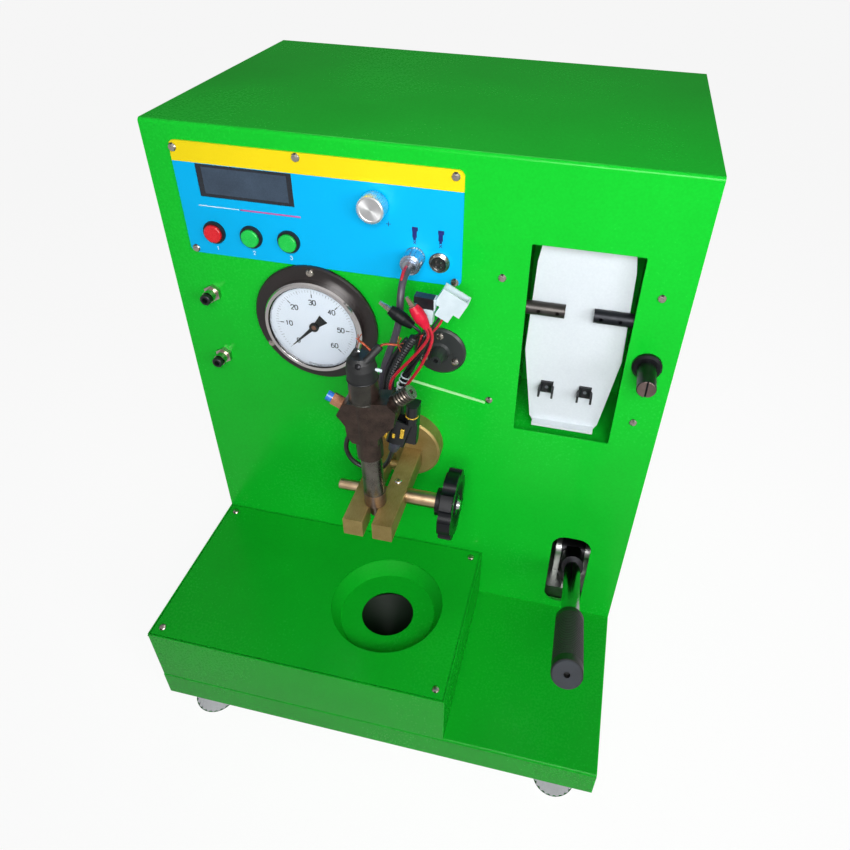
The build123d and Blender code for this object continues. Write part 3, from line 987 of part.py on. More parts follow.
def injector():
    """The injector that stands in the jaws: nozzle, cap nut, body with its shoulder, domed coil
    head, threaded inlet, return fitting and two cable lugs."""
    foot = beside(INJECTOR_X, INJECTOR_Y, 0)
    body = turned(foot, UP, (0, NOZZLE_TIP_Z), (NEEDLE_RADIUS, NOZZLE_TIP_Z),
                  (NOZZLE_RADIUS * 0.6, NOZZLE_CONE_Z), (NOZZLE_RADIUS, NOZZLE_CONE_Z),
                  (NOZZLE_RADIUS, RING_Z), (RING_RADIUS, RING_Z),
                  (RING_RADIUS, CAP_NUT_Z), (CAP_NUT_RADIUS, CAP_NUT_Z), (CAP_NUT_RADIUS, BODY_Z),
                  (BODY_RADIUS - BODY_FOOT, BODY_Z), (BODY_RADIUS, BODY_Z + BODY_FOOT),
                  (BODY_RADIUS, HEAD_Z), (HEAD_RADIUS, HEAD_Z), (HEAD_RADIUS, HEAD_TOP_Z),
                  (CROWN_EDGE, CROWN_EDGE_Z), (CROWN_RADIUS, CROWN_Z), (0, CROWN_Z))
    body += shoulder()
    middle, _, _, way = seat(INLET_SEAT_SHARES, INLET_SEAT, INLET_TURN)
    inlet_start = foot + Vector(middle.X, 0, middle.Y)
    body += rod(inlet_start - way * INLET_SEAT, way, INLET_RADIUS, INLET_LENGTH + INLET_SEAT)
    body -= rod(inlet_start + way * (INLET_LENGTH - INLET_RADIUS), way, INLET_RADIUS / 3,
                INLET_RADIUS + OVERRUN)
    middle, _, _, way = seat(RETURN_SEAT_SHARES, RETURN_SEAT, RETURN_TURN)
    return_start = foot + Vector(middle.X, 0, middle.Y)
    sunk = RETURN_HEX / 2
    fitting = hexagon(return_start - way * sunk, way, RETURN_HEX, RETURN_LENGTH + sunk) - body
    fitting += rod(return_start + way * RETURN_LENGTH / 2, way, RETURN_COLLAR,
                   RETURN_LENGTH / 2 + RETURN_COLLAR_LENGTH)
    crown = foot + Vector(0, 0, CROWN_Z)
    lugs = []
    for radius, (low, high) in zip(TERMINAL_RADII, TERMINAL_SHARES):
        start, end = [crown + Vector(*share) * HEAD_RADIUS for share in (low, high)]
        run = end - start
        lug = rod(start, run.normalized(), radius, run.length)
        lugs.append(softened(lug, radius / 3) - body)
    node("injector_body", *leaned(body, fitting, *lugs))


# Hand pump
PUMP_WIDTH, PUMP_FRONT, PUMP_REAR, PUMP_TOP = 60.0, 16.0, 92.0, 20.0
PUMP_LEFT, PUMP_RIGHT = LEVER_X - PUMP_WIDTH / 2, LEVER_X + PUMP_WIDTH / 2
PUMP_EDGE = 3.0
PIN_DIAMETER, HUB_DIAMETER, HUB_WIDTH = 12.0, 34.0, 30.0
CHEEK_THICKNESS, CHEEK_HALF, CHEEK_GAP = 7.0, 14.0, 0.5
PAD_ARM, PAD_RADIUS, PAD_WIDTH = 24.0, 10.0, 20.0
PAD_ANGLE = LEVER_DOWN / 2       # above the horizontal at rest, as far below it at the end
PAD_GAP = 0.5
PLUNGER_RADIUS, BUTTON_RADIUS, BUTTON_RISE = 4.5, 6.0, 5.0
PLUNGER_DEPTH = 40.0             # how far the plunger reaches into the block at rest
GLAND_ACROSS, GLAND_RISE = 27.0, 8.5
SLEEVE_DIAMETER, SLEEVE_START, SLEEVE_END, SOCKET_DEPTH = 27.0, 30.0, 68.0, 34.0
NECK_WIDTH, NECK_HEIGHT = 18.0, 16.0
GRIP_RIBS, GRIP_RIB, GRIP_RIB_SHARE = 26, 0.7, 0.62
GRIP_SHOULDER = 12.0
GRIP_HOLE, GRIP_HOLE_DEPTH = 3.0, 12.0
GRIP_WALL_END = 8.0              # grip beyond the end of the rod

pivot_z = LEVER_CROSSING - LEVER_BACK * math.tan(tilt)
lever_way = Vector(0, -math.cos(tilt), math.sin(tilt))
pad_turn = math.radians(PAD_ANGLE)
plunger_y = LEVER_BACK - PAD_ARM
plunger_top = pivot_z + PAD_ARM * math.sin(pad_turn) - PAD_RADIUS - PAD_GAP
plunger_travel = 2 * PAD_ARM * math.sin(pad_turn)


def pump_body():
    """The pump block on the base plate, with its gland, its clevis cheeks and the lever's pin."""
    low = SHEET - TRAY_LIP + BASE_SHEET
    body = softened(block((PUMP_LEFT, PUMP_FRONT, low), (PUMP_RIGHT, PUMP_REAR, PUMP_TOP)), PUMP_EDGE, Axis.Z)
    gland_start = at(LEVER_X, plunger_y, PUMP_TOP)
    body += hexagon(gland_start, UP, GLAND_ACROSS, GLAND_RISE)
    cheek_inner = HUB_WIDTH / 2 + CHEEK_GAP
    for side in (-1, 1):
        low_x, high_x = sorted((LEVER_X + side * cheek_inner,
                                LEVER_X + side * (cheek_inner + CHEEK_THICKNESS)))
        cheek = block((low_x, LEVER_BACK - CHEEK_HALF, PUMP_TOP), (high_x, LEVER_BACK + CHEEK_HALF, pivot_z))
        cheek += rod(at(low_x, LEVER_BACK, pivot_z), RIGHT, CHEEK_HALF, CHEEK_THICKNESS)
        body += cheek
    pin_half = cheek_inner + CHEEK_THICKNESS + CHEEK_GAP
    body += rod(at(LEVER_X - pin_half, LEVER_BACK, pivot_z), RIGHT, PIN_DIAMETER / 2, 2 * pin_half)
    bore_low = plunger_top - BUTTON_RISE - PLUNGER_DEPTH - plunger_travel - GAP
    body -= rod(at(LEVER_X, plunger_y, bore_low), UP, PLUNGER_RADIUS + RUNNING,
                PUMP_TOP + GLAND_RISE + OVERRUN - bore_low)
    node("pump_body", body)


def pump_plunger():
    """The plunger with its button, which the lever's pad presses down."""
    base = at(LEVER_X, plunger_y, plunger_top - BUTTON_RISE - PLUNGER_DEPTH)
    plunger = rod(base, UP, PLUNGER_RADIUS, PLUNGER_DEPTH)
    button = rod(at(LEVER_X, plunger_y, plunger_top - BUTTON_RISE), UP, BUTTON_RADIUS, BUTTON_RISE)
    button = chamfer(button.edges().group_by(Axis.Z)[-1], BUTTON_RISE / 5)
    node("pump_plunger", plunger + button)


def lever():
    """The pump lever: black head with its pressing pad, steel rod and ribbed grip."""
    pivot = at(LEVER_X, LEVER_BACK, pivot_z)
    hub_start = pivot - Vector(HUB_WIDTH / 2, 0, 0)
    head = rod(hub_start, RIGHT, HUB_DIAMETER / 2, HUB_WIDTH)
    neck = Plane(origin=pivot, x_dir=RIGHT, z_dir=lever_way)
    head += neck * Box(NECK_WIDTH, NECK_HEIGHT, SLEEVE_START, align=BOTTOM_ALIGN)
    head += rod(pivot + lever_way * SLEEVE_START, lever_way, SLEEVE_DIAMETER / 2, SLEEVE_END - SLEEVE_START)
    pad_centre = pivot + Vector(0, -math.cos(pad_turn), math.sin(pad_turn)) * PAD_ARM
    head += rod(pad_centre - Vector(PAD_WIDTH / 2, 0, 0), RIGHT, PAD_RADIUS, PAD_WIDTH)
    head -= drill(hub_start, RIGHT, PIN_DIAMETER / 2 + RUNNING, HUB_WIDTH)
    rod_start = pivot + lever_way * (SLEEVE_END - SOCKET_DEPTH)
    rod_radius = LEVER_ROD_DIAMETER / 2
    head -= rod(rod_start, lever_way, rod_radius, SOCKET_DEPTH + OVERRUN)
    node("lever_head", head)
    rod_length = LEVER_LENGTH - GRIP_WALL_END - (SLEEVE_END - SOCKET_DEPTH)
    node("lever_rod", rod(rod_start, lever_way, rod_radius, rod_length))
    grip_start = pivot + lever_way * (LEVER_LENGTH - GRIP_LENGTH)
    outer, ribbed = GRIP_DIAMETER / 2, GRIP_DIAMETER / 2 - GRIP_RIB
    corners = [(rod_radius, 0), (outer - GRIP_CHAMFER, 0), (outer, GRIP_CHAMFER), (outer, GRIP_SHOULDER)]
    pitch = (GRIP_LENGTH - 2 * GRIP_SHOULDER) / GRIP_RIBS
    for rib in range(GRIP_RIBS):
        start = GRIP_SHOULDER + rib * pitch
        groove = pitch * (1 - GRIP_RIB_SHARE)
        corners += [(ribbed, start + groove / 2), (ribbed, start + groove), (outer, start + groove * 1.5),
                    (outer, start + pitch)]
    corners += [(outer, GRIP_LENGTH - GRIP_CHAMFER), (outer - GRIP_CHAMFER, GRIP_LENGTH), (0, GRIP_LENGTH),
                (0, GRIP_LENGTH - GRIP_WALL_END), (rod_radius, GRIP_LENGTH - GRIP_WALL_END)]
    grip = turned(grip_start, lever_way, *corners)
    end = pivot + lever_way * LEVER_LENGTH
    grip -= rod(end + lever_way * OVERRUN, lever_way * -1, GRIP_HOLE, OVERRUN + GRIP_HOLE_DEPTH / 2)
    node("lever_grip", grip)


# Inside the cabinet
TANK_SIDE, TANK_BACK = 60.0, 60.0      # clear of the cabinet's left side and rear edge
TANK_RIGHT, TANK_FRONT, TANK_TOP = 44.0, 120.0, 110.0
TANK_LEFT, TANK_REAR = TANK_SIDE - HALF, CABINET_DEPTH - TANK_BACK
SUMP_LEFT, SUMP_FRONT, SUMP_TOP = -60.0, -160.0, -20.0
TANK_WALL = 3.0
SUMP_MOUTH = 13.0
BOARD_LONG, BOARD_HIGH, BOARD_SHEET = 150.0, 110.0, 1.6
BOARD_Y, BOARD_DROP = 150.0, 118.0
BOARD_Z = CABINET_RISE - BOARD_DROP
STANDOFF, STANDOFF_RADIUS, STANDOFF_INSET = 12.0, 3.0, 8.0
COIL_RADIUS, COIL_RISE = 17.0, 22.0
CAPACITOR_RADIUS, CAPACITOR_RISE, CAPACITOR_COUNT, CAPACITOR_PITCH = 8.0, 26.0, 3, 19.0
HEATSINK_LONG, HEATSINK_HIGH, HEATSINK_RISE = 60.0, 24.0, 30.0
PIPE_RADIUS, PIPE_BEND = 3.0, 16.0
SUCTION_RADIUS = 4.5
PIPE_Y, PIPE_Z = 80.0, 4.0
UNION_ACROSS, UNION_LENGTH = 14.0, 14.0
TEE_SIDE = 20.0
VALVE_PIPE_Y, VALVE_PIPE_INSET = 30.0, 5.0
INLET_BODY_DEPTH = 26.0
INLET_FLANGE_WIDTH, INLET_FLANGE_HEIGHT, INLET_CORNER = 56.0, 68.0, 3.0
IEC_WIDTH, IEC_HEIGHT, IEC_DEPTH, IEC_DROP = 24.5, 17.0, 17.0, 13.0
IEC_PIN_WIDTH, IEC_PIN_HEIGHT, IEC_PIN_PITCH, IEC_PIN_RISE = 2.0, 4.0, 7.0, 3.5
IEC_PIN_SHORT = 5.0
ROCKER_WIDTH, ROCKER_HALF, ROCKER_LIFT, ROCKER_DROP = 21.0, 6.5, 15.0, 6.0
ROCKER_END, ROCKER_MIDDLE, ROCKER_EDGE, ROCKER_FOOT = 4.5, 3.0, 1.0, 2.5
ROCKER_PIN = 1.5


def fuel_tank():
    """The hollow tank: a flat sump under the tray, below the funnel, and a tall part behind."""
    low = SHEET - TRAY_LIP + BASE_SHEET
    w = TANK_WALL
    tank = block((SUMP_LEFT, SUMP_FRONT, low), (TANK_RIGHT, TANK_FRONT + w, SUMP_TOP))
    tank += block((TANK_LEFT, TANK_FRONT, low), (TANK_RIGHT, TANK_REAR, TANK_TOP))
    tank -= block((SUMP_LEFT + w, SUMP_FRONT + w, low + w),
                  (TANK_RIGHT - w, TANK_FRONT + 2 * w, SUMP_TOP - w))
    tank -= block((TANK_LEFT + w, TANK_FRONT + w, low + w), (TANK_RIGHT - w, TANK_REAR - w, TANK_TOP - w))
    tank -= drill(at(DISH_X, DISH_Y, SUMP_TOP - w), UP, SUMP_MOUTH, w)
    node("fuel_tank", tank)


def driver_board():
    """The injector driver's circuit board with coil, capacitors and heatsink on four standoffs."""
    face_x = STANDOFF - INNER_HALF
    board = block((face_x, BOARD_Y - BOARD_LONG / 2, BOARD_Z - BOARD_HIGH / 2),
                  (face_x + BOARD_SHEET, BOARD_Y + BOARD_LONG / 2, BOARD_Z + BOARD_HIGH / 2))
    for side in (-1, 1):
        for rise in (-1, 1):
            y = BOARD_Y + side * (BOARD_LONG / 2 - STANDOFF_INSET)
            z = BOARD_Z + rise * (BOARD_HIGH / 2 - STANDOFF_INSET)
            board += rod(at(-INNER_HALF, y, z), RIGHT, STANDOFF_RADIUS, STANDOFF)
    top = face_x + BOARD_SHEET
    board += rod(at(top, BOARD_Y - BOARD_LONG / 4, BOARD_Z - BOARD_HIGH / 4), RIGHT, COIL_RADIUS, COIL_RISE)
    for i in range(CAPACITOR_COUNT):
        z = BOARD_Z + (i - (CAPACITOR_COUNT - 1) / 2) * CAPACITOR_PITCH
        board += rod(at(top, BOARD_Y + BOARD_LONG / 4, z), RIGHT, CAPACITOR_RADIUS, CAPACITOR_RISE)
    sink_low = BOARD_Z + BOARD_HIGH / 2 - HEATSINK_HIGH
    board += block((top, BOARD_Y - HEATSINK_LONG, sink_low),
                   (top + HEATSINK_RISE, BOARD_Y, sink_low + HEATSINK_HIGH))
    node("driver_board", board)


def pipe(points, radius, bend=PIPE_BEND):
    """A bent metal pipe through points, with the same bend at each."""
    path = FilletPolyline(*points, radius=bend)
    section = Plane(origin=path @ 0, z_dir=path % 0) * Circle(radius)
    return sweep(section, path=path)


def union_nut(end, way):
    """A union nut whose face meets what the pipe feeds; way leads back along the pipe."""
    return hexagon(end, way, UNION_ACROSS, UNION_LENGTH)


def pressure_pipes():
    """Pipes from the pump to the gauge, the outlet nozzle and the relief valve, and from the tank."""
    gauge_back = GAUGE_CASE_DEPTH + GAUGE_STUD_LENGTH
    start, gauge_end = at(PUMP_LEFT, PIPE_Y, PIPE_Z), at(GAUGE_X, gauge_back, GAUGE_Z)
    main = pipe([start, at(GAUGE_X, PIPE_Y, PIPE_Z), at(GAUGE_X, PIPE_Y, GAUGE_Z), gauge_end], PIPE_RADIUS)
    main += union_nut(start, LEFT) + union_nut(gauge_end, BACK)
    nozzle_end = at(NOZZLE_X, NOZZLE_TAIL, NOZZLE_Z)
    branch = pipe([at(NOZZLE_X, PIPE_Y, PIPE_Z), at(NOZZLE_X, PIPE_Y, NOZZLE_Z), nozzle_end], PIPE_RADIUS)
    main += branch + union_nut(nozzle_end, BACK)
    main += Pos(*at(NOZZLE_X, PIPE_Y, PIPE_Z)) * Box(TEE_SIDE, TEE_SIDE, TEE_SIDE)
    valve_x = VALVE_X + VALVE_BLOCK / 2 - VALVE_PIPE_INSET
    valve_start = at(PUMP_RIGHT, VALVE_PIPE_Y, PIPE_Z)
    valve_end = at(valve_x, VALVE_PIPE_Y, VALVE_Z - VALVE_BLOCK / 2)
    riser = pipe([valve_start, at(valve_x, VALVE_PIPE_Y, PIPE_Z), valve_end], PIPE_RADIUS, PIPE_RADIUS * 2)
    suction_z = SUMP_TOP
    suction = rod(at(TANK_RIGHT, PIPE_Y, suction_z), RIGHT, SUCTION_RADIUS, PUMP_LEFT - TANK_RIGHT)
    node("pressure_pipes", main, riser, suction)


def mains_inlet():
    """The mains inlet in the rear cover, with its switch pocket above the three-pin socket."""
    outside = CABINET_DEPTH + COVER_SHEET
    middle = at(INLET_X, outside, INLET_Z)
    flange_plan = RectangleRounded(INLET_FLANGE_WIDTH, INLET_FLANGE_HEIGHT, INLET_CORNER)
    inlet = Plane(origin=middle, x_dir=LEFT, z_dir=BACK) * extrude(flange_plan, INLET_FLANGE)
    half_width, half_height = INLET_WIDTH / 2 - SEAT, INLET_HEIGHT / 2 - SEAT
    inlet += block((INLET_X - half_width, outside - INLET_BODY_DEPTH, INLET_Z - half_height),
                   (INLET_X + half_width, outside, INLET_Z + half_height))
    mouth = outside + INLET_FLANGE
    socket_z = INLET_Z - IEC_DROP
    inlet -= block((INLET_X - IEC_WIDTH / 2, mouth - IEC_DEPTH, socket_z - IEC_HEIGHT / 2),
                   (INLET_X + IEC_WIDTH / 2, mouth + OVERRUN, socket_z + IEC_HEIGHT / 2))
    for step in (-1, 0, 1):
        x = INLET_X + step * IEC_PIN_PITCH
        z = socket_z + (IEC_PIN_RISE if step == 0 else 0) - IEC_PIN_RISE / 2
        inlet += block((x - IEC_PIN_WIDTH / 2, mouth - IEC_DEPTH, z - IEC_PIN_HEIGHT / 2),
                       (x + IEC_PIN_WIDTH / 2, mouth - IEC_PIN_SHORT, z + IEC_PIN_HEIGHT / 2))
    rocker_z = INLET_Z + ROCKER_LIFT
    pocket_half = ROCKER_HALF + ROCKER_EDGE
    pocket_width = ROCKER_WIDTH / 2 + GAP
    inlet -= block((INLET_X - pocket_width, mouth - ROCKER_END - ROCKER_DROP - ROCKER_EDGE,
                    rocker_z - pocket_half),
                   (INLET_X + pocket_width, mouth + OVERRUN, rocker_z + pocket_half))
    pin_half = ROCKER_WIDTH / 2 + 2 * ROCKER_PIN
    axle = at(INLET_X - pin_half, mouth - ROCKER_END, rocker_z)
    inlet -= rod(axle, RIGHT, ROCKER_PIN + RUNNING, 2 * pin_half)
    node("mains_inlet", inlet)
    outline = [(-ROCKER_HALF, ROCKER_END), (0, ROCKER_MIDDLE), (ROCKER_HALF, ROCKER_END), (ROCKER_HALF, 0),
               (ROCKER_FOOT, -ROCKER_DROP), (-ROCKER_FOOT, -ROCKER_DROP), (-ROCKER_HALF, 0)]
    points = [(PANEL_Y + mouth - ROCKER_END + y, TRAY_Z + rocker_z + z) for z, y in outline]
    face = Plane.YZ * make_face(Polyline(*points, close=True))
    rocker = Pos(INLET_X - ROCKER_WIDTH / 2, 0, 0) * extrude(face, ROCKER_WIDTH, dir=RIGHT)
    short = RUNNING * 2
    rocker += rod(axle + Vector(short, 0, 0), RIGHT, ROCKER_PIN, 2 * (pin_half - short))
    node("mains_rocker", rocker)


def fasteners():
    """All the pan-head screws of the panels, covers, gauge and outlet nozzle."""
    screws = [screw(at(x, -PLATE_THICKNESS, z), FRONT) for x, z in plate_screw_places()]
    screws += [screw(at(x, 0, z), FRONT) for x, z in PANEL_SCREW_PLACES]
    screws += [screw(gauge_screw_place(a, -GAUGE_FLANGE_THICKNESS), FRONT) for a in GAUGE_SCREW_ANGLES]
    screws += [screw(nozzle_screw_place(a, -NOZZLE_FLANGE_THICKNESS), FRONT) for a in NOZZLE_SCREW_ANGLES]
    screws += [screw(at(x, y, BOX_RISE), UP) for x, y in box_screw_places()]
    screws += [screw(at(x, CABINET_DEPTH + COVER_SHEET, z), BACK) for x, z in rear_screw_places()]
    node("panel_screws", *screws)


# Plug and harness
PLUG_NUT, PLUG_NUT_LENGTH, PLUG_NUT_FLUTES, PLUG_FLUTE = 10.0, 13.0, 24, 0.5
PLUG_BODY, PLUG_SHOULDER, PLUG_END = 7.0, 8.2, 26.0
PLUG_CLAMP = 6.4
LEAD_DIAMETER, LOOM_DIAMETER, STRAND_DIAMETER = 7.0, 8.5, 8.0
WIRE_DIAMETER, CONNECTOR_WIRE, SENSOR_LEAD = 3.0, 2.6, 5.0
RADIUS_SHARE = 0.45
BUNDLE_WIDTH, BUNDLE_DEPTH, BUNDLE_HEIGHT, BUNDLE_EDGE = 31.0, 20.0, 22.0, 6.0
BUNDLE_X, BUNDLE_Y, BUNDLE_TOP = -8.0, -61.5, 366.0
TIE_OUTER, TIE_INNER, TIE_WIDTH = 5.6, 4.05, 2.2
CLIP_FRONT_SHARE = 0.3
CLIP_JAW_HALF, CLIP_JAW_TIP, CLIP_JAW_THICKNESS = 2.6, 1.3, 3.2
CLIP_BOOT, CLIP_BOOT_FRONT, CLIP_BOOT_REAR = 6.0, 4.2, 3.6
BLACK_CLIP = [(-11.5, -70.0, 472.7), (18.9, -70.0, 452.7)]
RED_CLIP = [(14.4, -73.0, 483.4), (32.3, -73.0, 455.7)]
CONNECTOR_FOOT, CONNECTOR_TURN = (41.0, -50.0, 454.5), 28.0
CONNECTOR_SIDE, CONNECTOR_LENGTH, CONNECTOR_THICKNESS = 26.0, 18.0, 12.0
CONNECTOR_TAIL_WIDTH, CONNECTOR_TAIL_LENGTH = 14.0, 11.0
SMALL_FOOT, SMALL_TURN = (25.0, -54.0, 450.0), 4.0
SMALL_SIDE, SMALL_LENGTH, SMALL_THICKNESS = 17.0, 15.0, 9.0
SMALL_CAP_SIDE, SMALL_CAP_LENGTH = 20.0, 11.0
SENSOR_FOOT, SENSOR_TOP = (-1.0, -80.0, 309.0), (12.0, -80.0, 351.0)
SENSOR_BOOT = 6.5
SENSOR_WIDTH, SENSOR_DEPTH, SENSOR_EDGE, SENSOR_WALL = 19.0, 14.0, 2.5, 2.0
SENSOR_POCKET_SHARE = 0.34       # of the whole length
HOLDER_FOOT, HOLDER_TOP = (17.5, -76.0, 322.0), (20.5, -76.0, 370.0)
HOLDER_WIDTH, HOLDER_DEPTH = 12.5, 13.0
SPOUT_RADIUS, SPOUT_FORWARD, SPOUT_SHARES = 6.0, 5.0, (0.55, 1.02)

MAIN_LEAD = [(2.8, -26, 485.5), (2.9, -39, 485.3), (3.1, -50.2, 478.9), (3.5, -56.8, 467.8), (3, -58, 451.5),
             (-0.5, -58, 434.5), (-6, -58.5, 418), (-12, -59, 400.5), (-16.5, -59.5, 382), (-17.5, -60, 366)]
BLACK_WIRE = [(18.9, -70, 452.7), (24.5, -69.4, 449), (24.5, -66.8, 442.5), (18.8, -65.5, 438.5)]
BLACK_LOOM = [(19.5, -65.6, 439), (13.5, -65.2, 428.5), (6.5, -65, 416.5), (0.5, -64.8, 403.5),
              (-4.5, -64, 391), (-7.6, -62.5, 378.5), (-8.3, -61, 366)]
RED_WIRE = [(31.2, -73, 455), (34.2, -73, 450.2), (33.5, -73, 443), (28.5, -72.6, 434), (21.5, -72, 423.5),
            (13, -71.5, 412), (4, -71, 400.5), (-3.5, -70.2, 388.5), (-5.6, -69.3, 377), (-5.5, -69, 366)]
RED_RETURN = [(33.8, -73, 456.6), (37.6, -73, 450.6), (37.3, -72.7, 441.5), (34.5, -72, 431),
              (30, -71, 419.5), (24.8, -70, 407.5), (18.5, -69, 396), (12, -68.3, 385),
              (7.8, -67.6, 375.8), (5.5, -67.2, 366)]
RIGHT_STRAND = [(27, -57.5, 441), (25.5, -58, 430), (22, -58.6, 418.5), (16, -59.2, 405), (9.5, -59.8, 392),
                (4.6, -60, 379), (3.2, -60, 366)]
CONNECTOR_WIRES = [[(39.6, -50, 455.2), (35.5, -52.5, 447.4), (28.5, -57, 438.5)],
                   [(42.4, -50, 453.8), (37.5, -53.5, 444), (28, -58, 434)]]
SMALL_WIRE = [(25, -54, 450), (25.3, -55.5, 445), (26.5, -57.5, 439)]
SENSOR_PATH = [(-13, -62, 344), (-14, -63.5, 334), (-21, -66, 327.5), (-32, -68.5, 325), (-43, -71, 320),
               (-51, -73.5, 310), (-54.5, -75, 297), (-51.5, -76, 284), (-43, -76.5, 275), (-31, -76.5, 271),
               (-19, -77.5, 273.5), (-10.5, -79, 283), (-4.5, -80, 296), (-1, -80, 309)]
TIE_TAIL = [(11.5, -62.5, 386.8), (86.3, -56, 368.2)]
TIE_TAIL_WIDTH, TIE_TAIL_THICKNESS = 2.4, 1.0
TIE_SHARE = 0.12         # the ties' spacing on the right strand's lowest stretch


def cord_tube(name, places, diameter):
    """A cord as straight runs joined by tangent arcs, each as large as its two runs allow."""
    points = [beside(*place) for place in places]
    runs = [after - before for before, after in zip(points, points[1:])]
    radii = []
    for before, after in zip(runs, runs[1:]):
        half_turn = math.radians(before.get_angle(after)) / 2
        shorter = min(before.length, after.length)
        radii.append(RADIUS_SHARE * shorter / math.tan(half_turn))
    path = FilletPolyline(*points, radius=radii)
    section = Plane(origin=path @ 0, z_dir=path % 0) * Circle(diameter / 2)
    tube = sweep(section, path=path)
    expected = math.pi * diameter ** 2 / 4 * path.length
    print(name, "length", round(path.length, 1), "volume over section by length",
          round(tube.volume / expected, 4), "radii", [round(r, 1) for r in radii])
    return tube


def along(start, end):
    """Start point, direction and length from one place to another."""
    start, end = beside(*start), beside(*end)
    return start, (end - start).normalized(), (end - start).length


def harness_plug():
    """The plug in the left socket: a turned body and a fluted coupling nut that turns on it."""
    x, z = SOCKET_PLACES[0]
    face = PLATE_THICKNESS + SOCKET_RISE
    start = at(x, INSERT_RECESS - GAP - face, z)
    depth = PLUG_END + INSERT_RECESS - GAP - face
    nut_end = depth - (PLUG_END - face - PLUG_NUT_LENGTH)
    shoulder = INSERT_RECESS
    body = turned(start, FRONT, (0, 0), (PLUG_BODY, 0), (PLUG_BODY, nut_end + GAP),
                  (PLUG_SHOULDER, nut_end + GAP), (PLUG_SHOULDER, nut_end + GAP + shoulder),
                  (PLUG_CLAMP, depth - shoulder),
                  (PLUG_CLAMP, depth), (0, depth))
    for i in range(PIN_COUNT):
        angle = 2 * math.pi * (i + 0.5) / PIN_COUNT
        hole = start + Vector(PIN_CIRCLE * math.cos(angle), 0, PIN_CIRCLE * math.sin(angle))
        body -= rod(hole + Vector(0, OVERRUN, 0), FRONT, PIN_RADIUS + SEAT, OVERRUN + INSERT_RECESS)
    node("harness_plug", body)
    nut_start = at(x, -PLATE_THICKNESS - SOCKET_FLANGE - GAP, z)
    length = PLUG_NUT_LENGTH + SOCKET_RISE - SOCKET_FLANGE - GAP
    star = fluted(PLUG_NUT, PLUG_NUT - PLUG_FLUTE, PLUG_NUT_FLUTES)
    nut = Plane(origin=nut_start, z_dir=FRONT) * extrude(star, length)
    nut -= rod(nut_start + Vector(0, OVERRUN, 0), FRONT, SOCKET_BARREL + RUNNING,
               OVERRUN + SOCKET_RISE - SOCKET_FLANGE)
    nut -= drill(nut_start, FRONT, PLUG_BODY + RUNNING, length)
    node("plug_coupling_nut", nut)


def harness_leads():
    """The main lead, the looms and wires of the clips and connectors, and the sensor lead."""
    node("main_lead", cord_tube("main_lead", MAIN_LEAD, LEAD_DIAMETER))
    black = cord_tube("black_loom", BLACK_LOOM, LOOM_DIAMETER)
    black += cord_tube("black_wire", BLACK_WIRE, WIRE_DIAMETER)
    right = cord_tube("right_strand", RIGHT_STRAND, STRAND_DIAMETER)
    for number, places in enumerate(CONNECTOR_WIRES):
        right += cord_tube("connector_wire_%d" % number, places, CONNECTOR_WIRE)
    right += cord_tube("small_connector_wire", SMALL_WIRE, CONNECTOR_WIRE)
    node("harness_leads", black, right, cord_tube("red_wire", RED_WIRE, WIRE_DIAMETER),
         cord_tube("red_return", RED_RETURN, WIRE_DIAMETER))
    node("connector_lead", cord_tube("connector_lead", SENSOR_PATH, SENSOR_LEAD))


def tied_bundle():
    """The taped bundle where the leads meet, with a tie round the right strand and its long tail."""
    top = BUNDLE_TOP + BOSS_Z - BOSS_RISE
    bundle = block((BUNDLE_X - BUNDLE_WIDTH / 2, BUNDLE_Y - BUNDLE_DEPTH / 2, top - BUNDLE_HEIGHT),
                   (BUNDLE_X + BUNDLE_WIDTH / 2, BUNDLE_Y + BUNDLE_DEPTH / 2, top))
    bundle = softened(bundle, BUNDLE_EDGE, Axis.Z)
    start, way, length = along(RIGHT_STRAND[-1], RIGHT_STRAND[-2])
    ties = [ring(start + way * (length * (0.5 + share)), way, TIE_OUTER, TIE_INNER, TIE_WIDTH)
            for share in (-2 * TIE_SHARE, 2 * TIE_SHARE)]
    tail_start, tail_way, tail_length = along(*TIE_TAIL)
    tail = Box(TIE_TAIL_WIDTH, TIE_TAIL_THICKNESS, tail_length, align=BOTTOM_ALIGN)
    tail = Plane(origin=tail_start, x_dir=UP, z_dir=tail_way) * tail
    node("tied_bundle", bundle, *ties, tail)


def crocodile_clip(tip, rear):
    """A small clip: a moulded boot over two metal jaws that close at the tip."""
    start, way, length = along(tip, rear)
    front = length * CLIP_FRONT_SHARE
    boot = turned(start, way, (0, front), (CLIP_BOOT_FRONT, front), (CLIP_BOOT, length * 0.5),
                  (CLIP_BOOT, length * 0.72), (CLIP_BOOT_REAR, length), (0, length))
    plane = Plane(origin=start, x_dir=FRONT, z_dir=way)
    tip_face = Rectangle(CLIP_JAW_THICKNESS * 0.6, CLIP_JAW_TIP * 2)
    root_face = Pos(0, 0, front + CLIP_JAW_TIP) * Rectangle(CLIP_JAW_THICKNESS, CLIP_JAW_HALF * 2)
    return boot + plane * loft([tip_face, root_face], ruled=True)


def crocodile_clips():
    """The black and the red clip."""
    node("crocodile_clips", crocodile_clip(*BLACK_CLIP), crocodile_clip(*RED_CLIP))


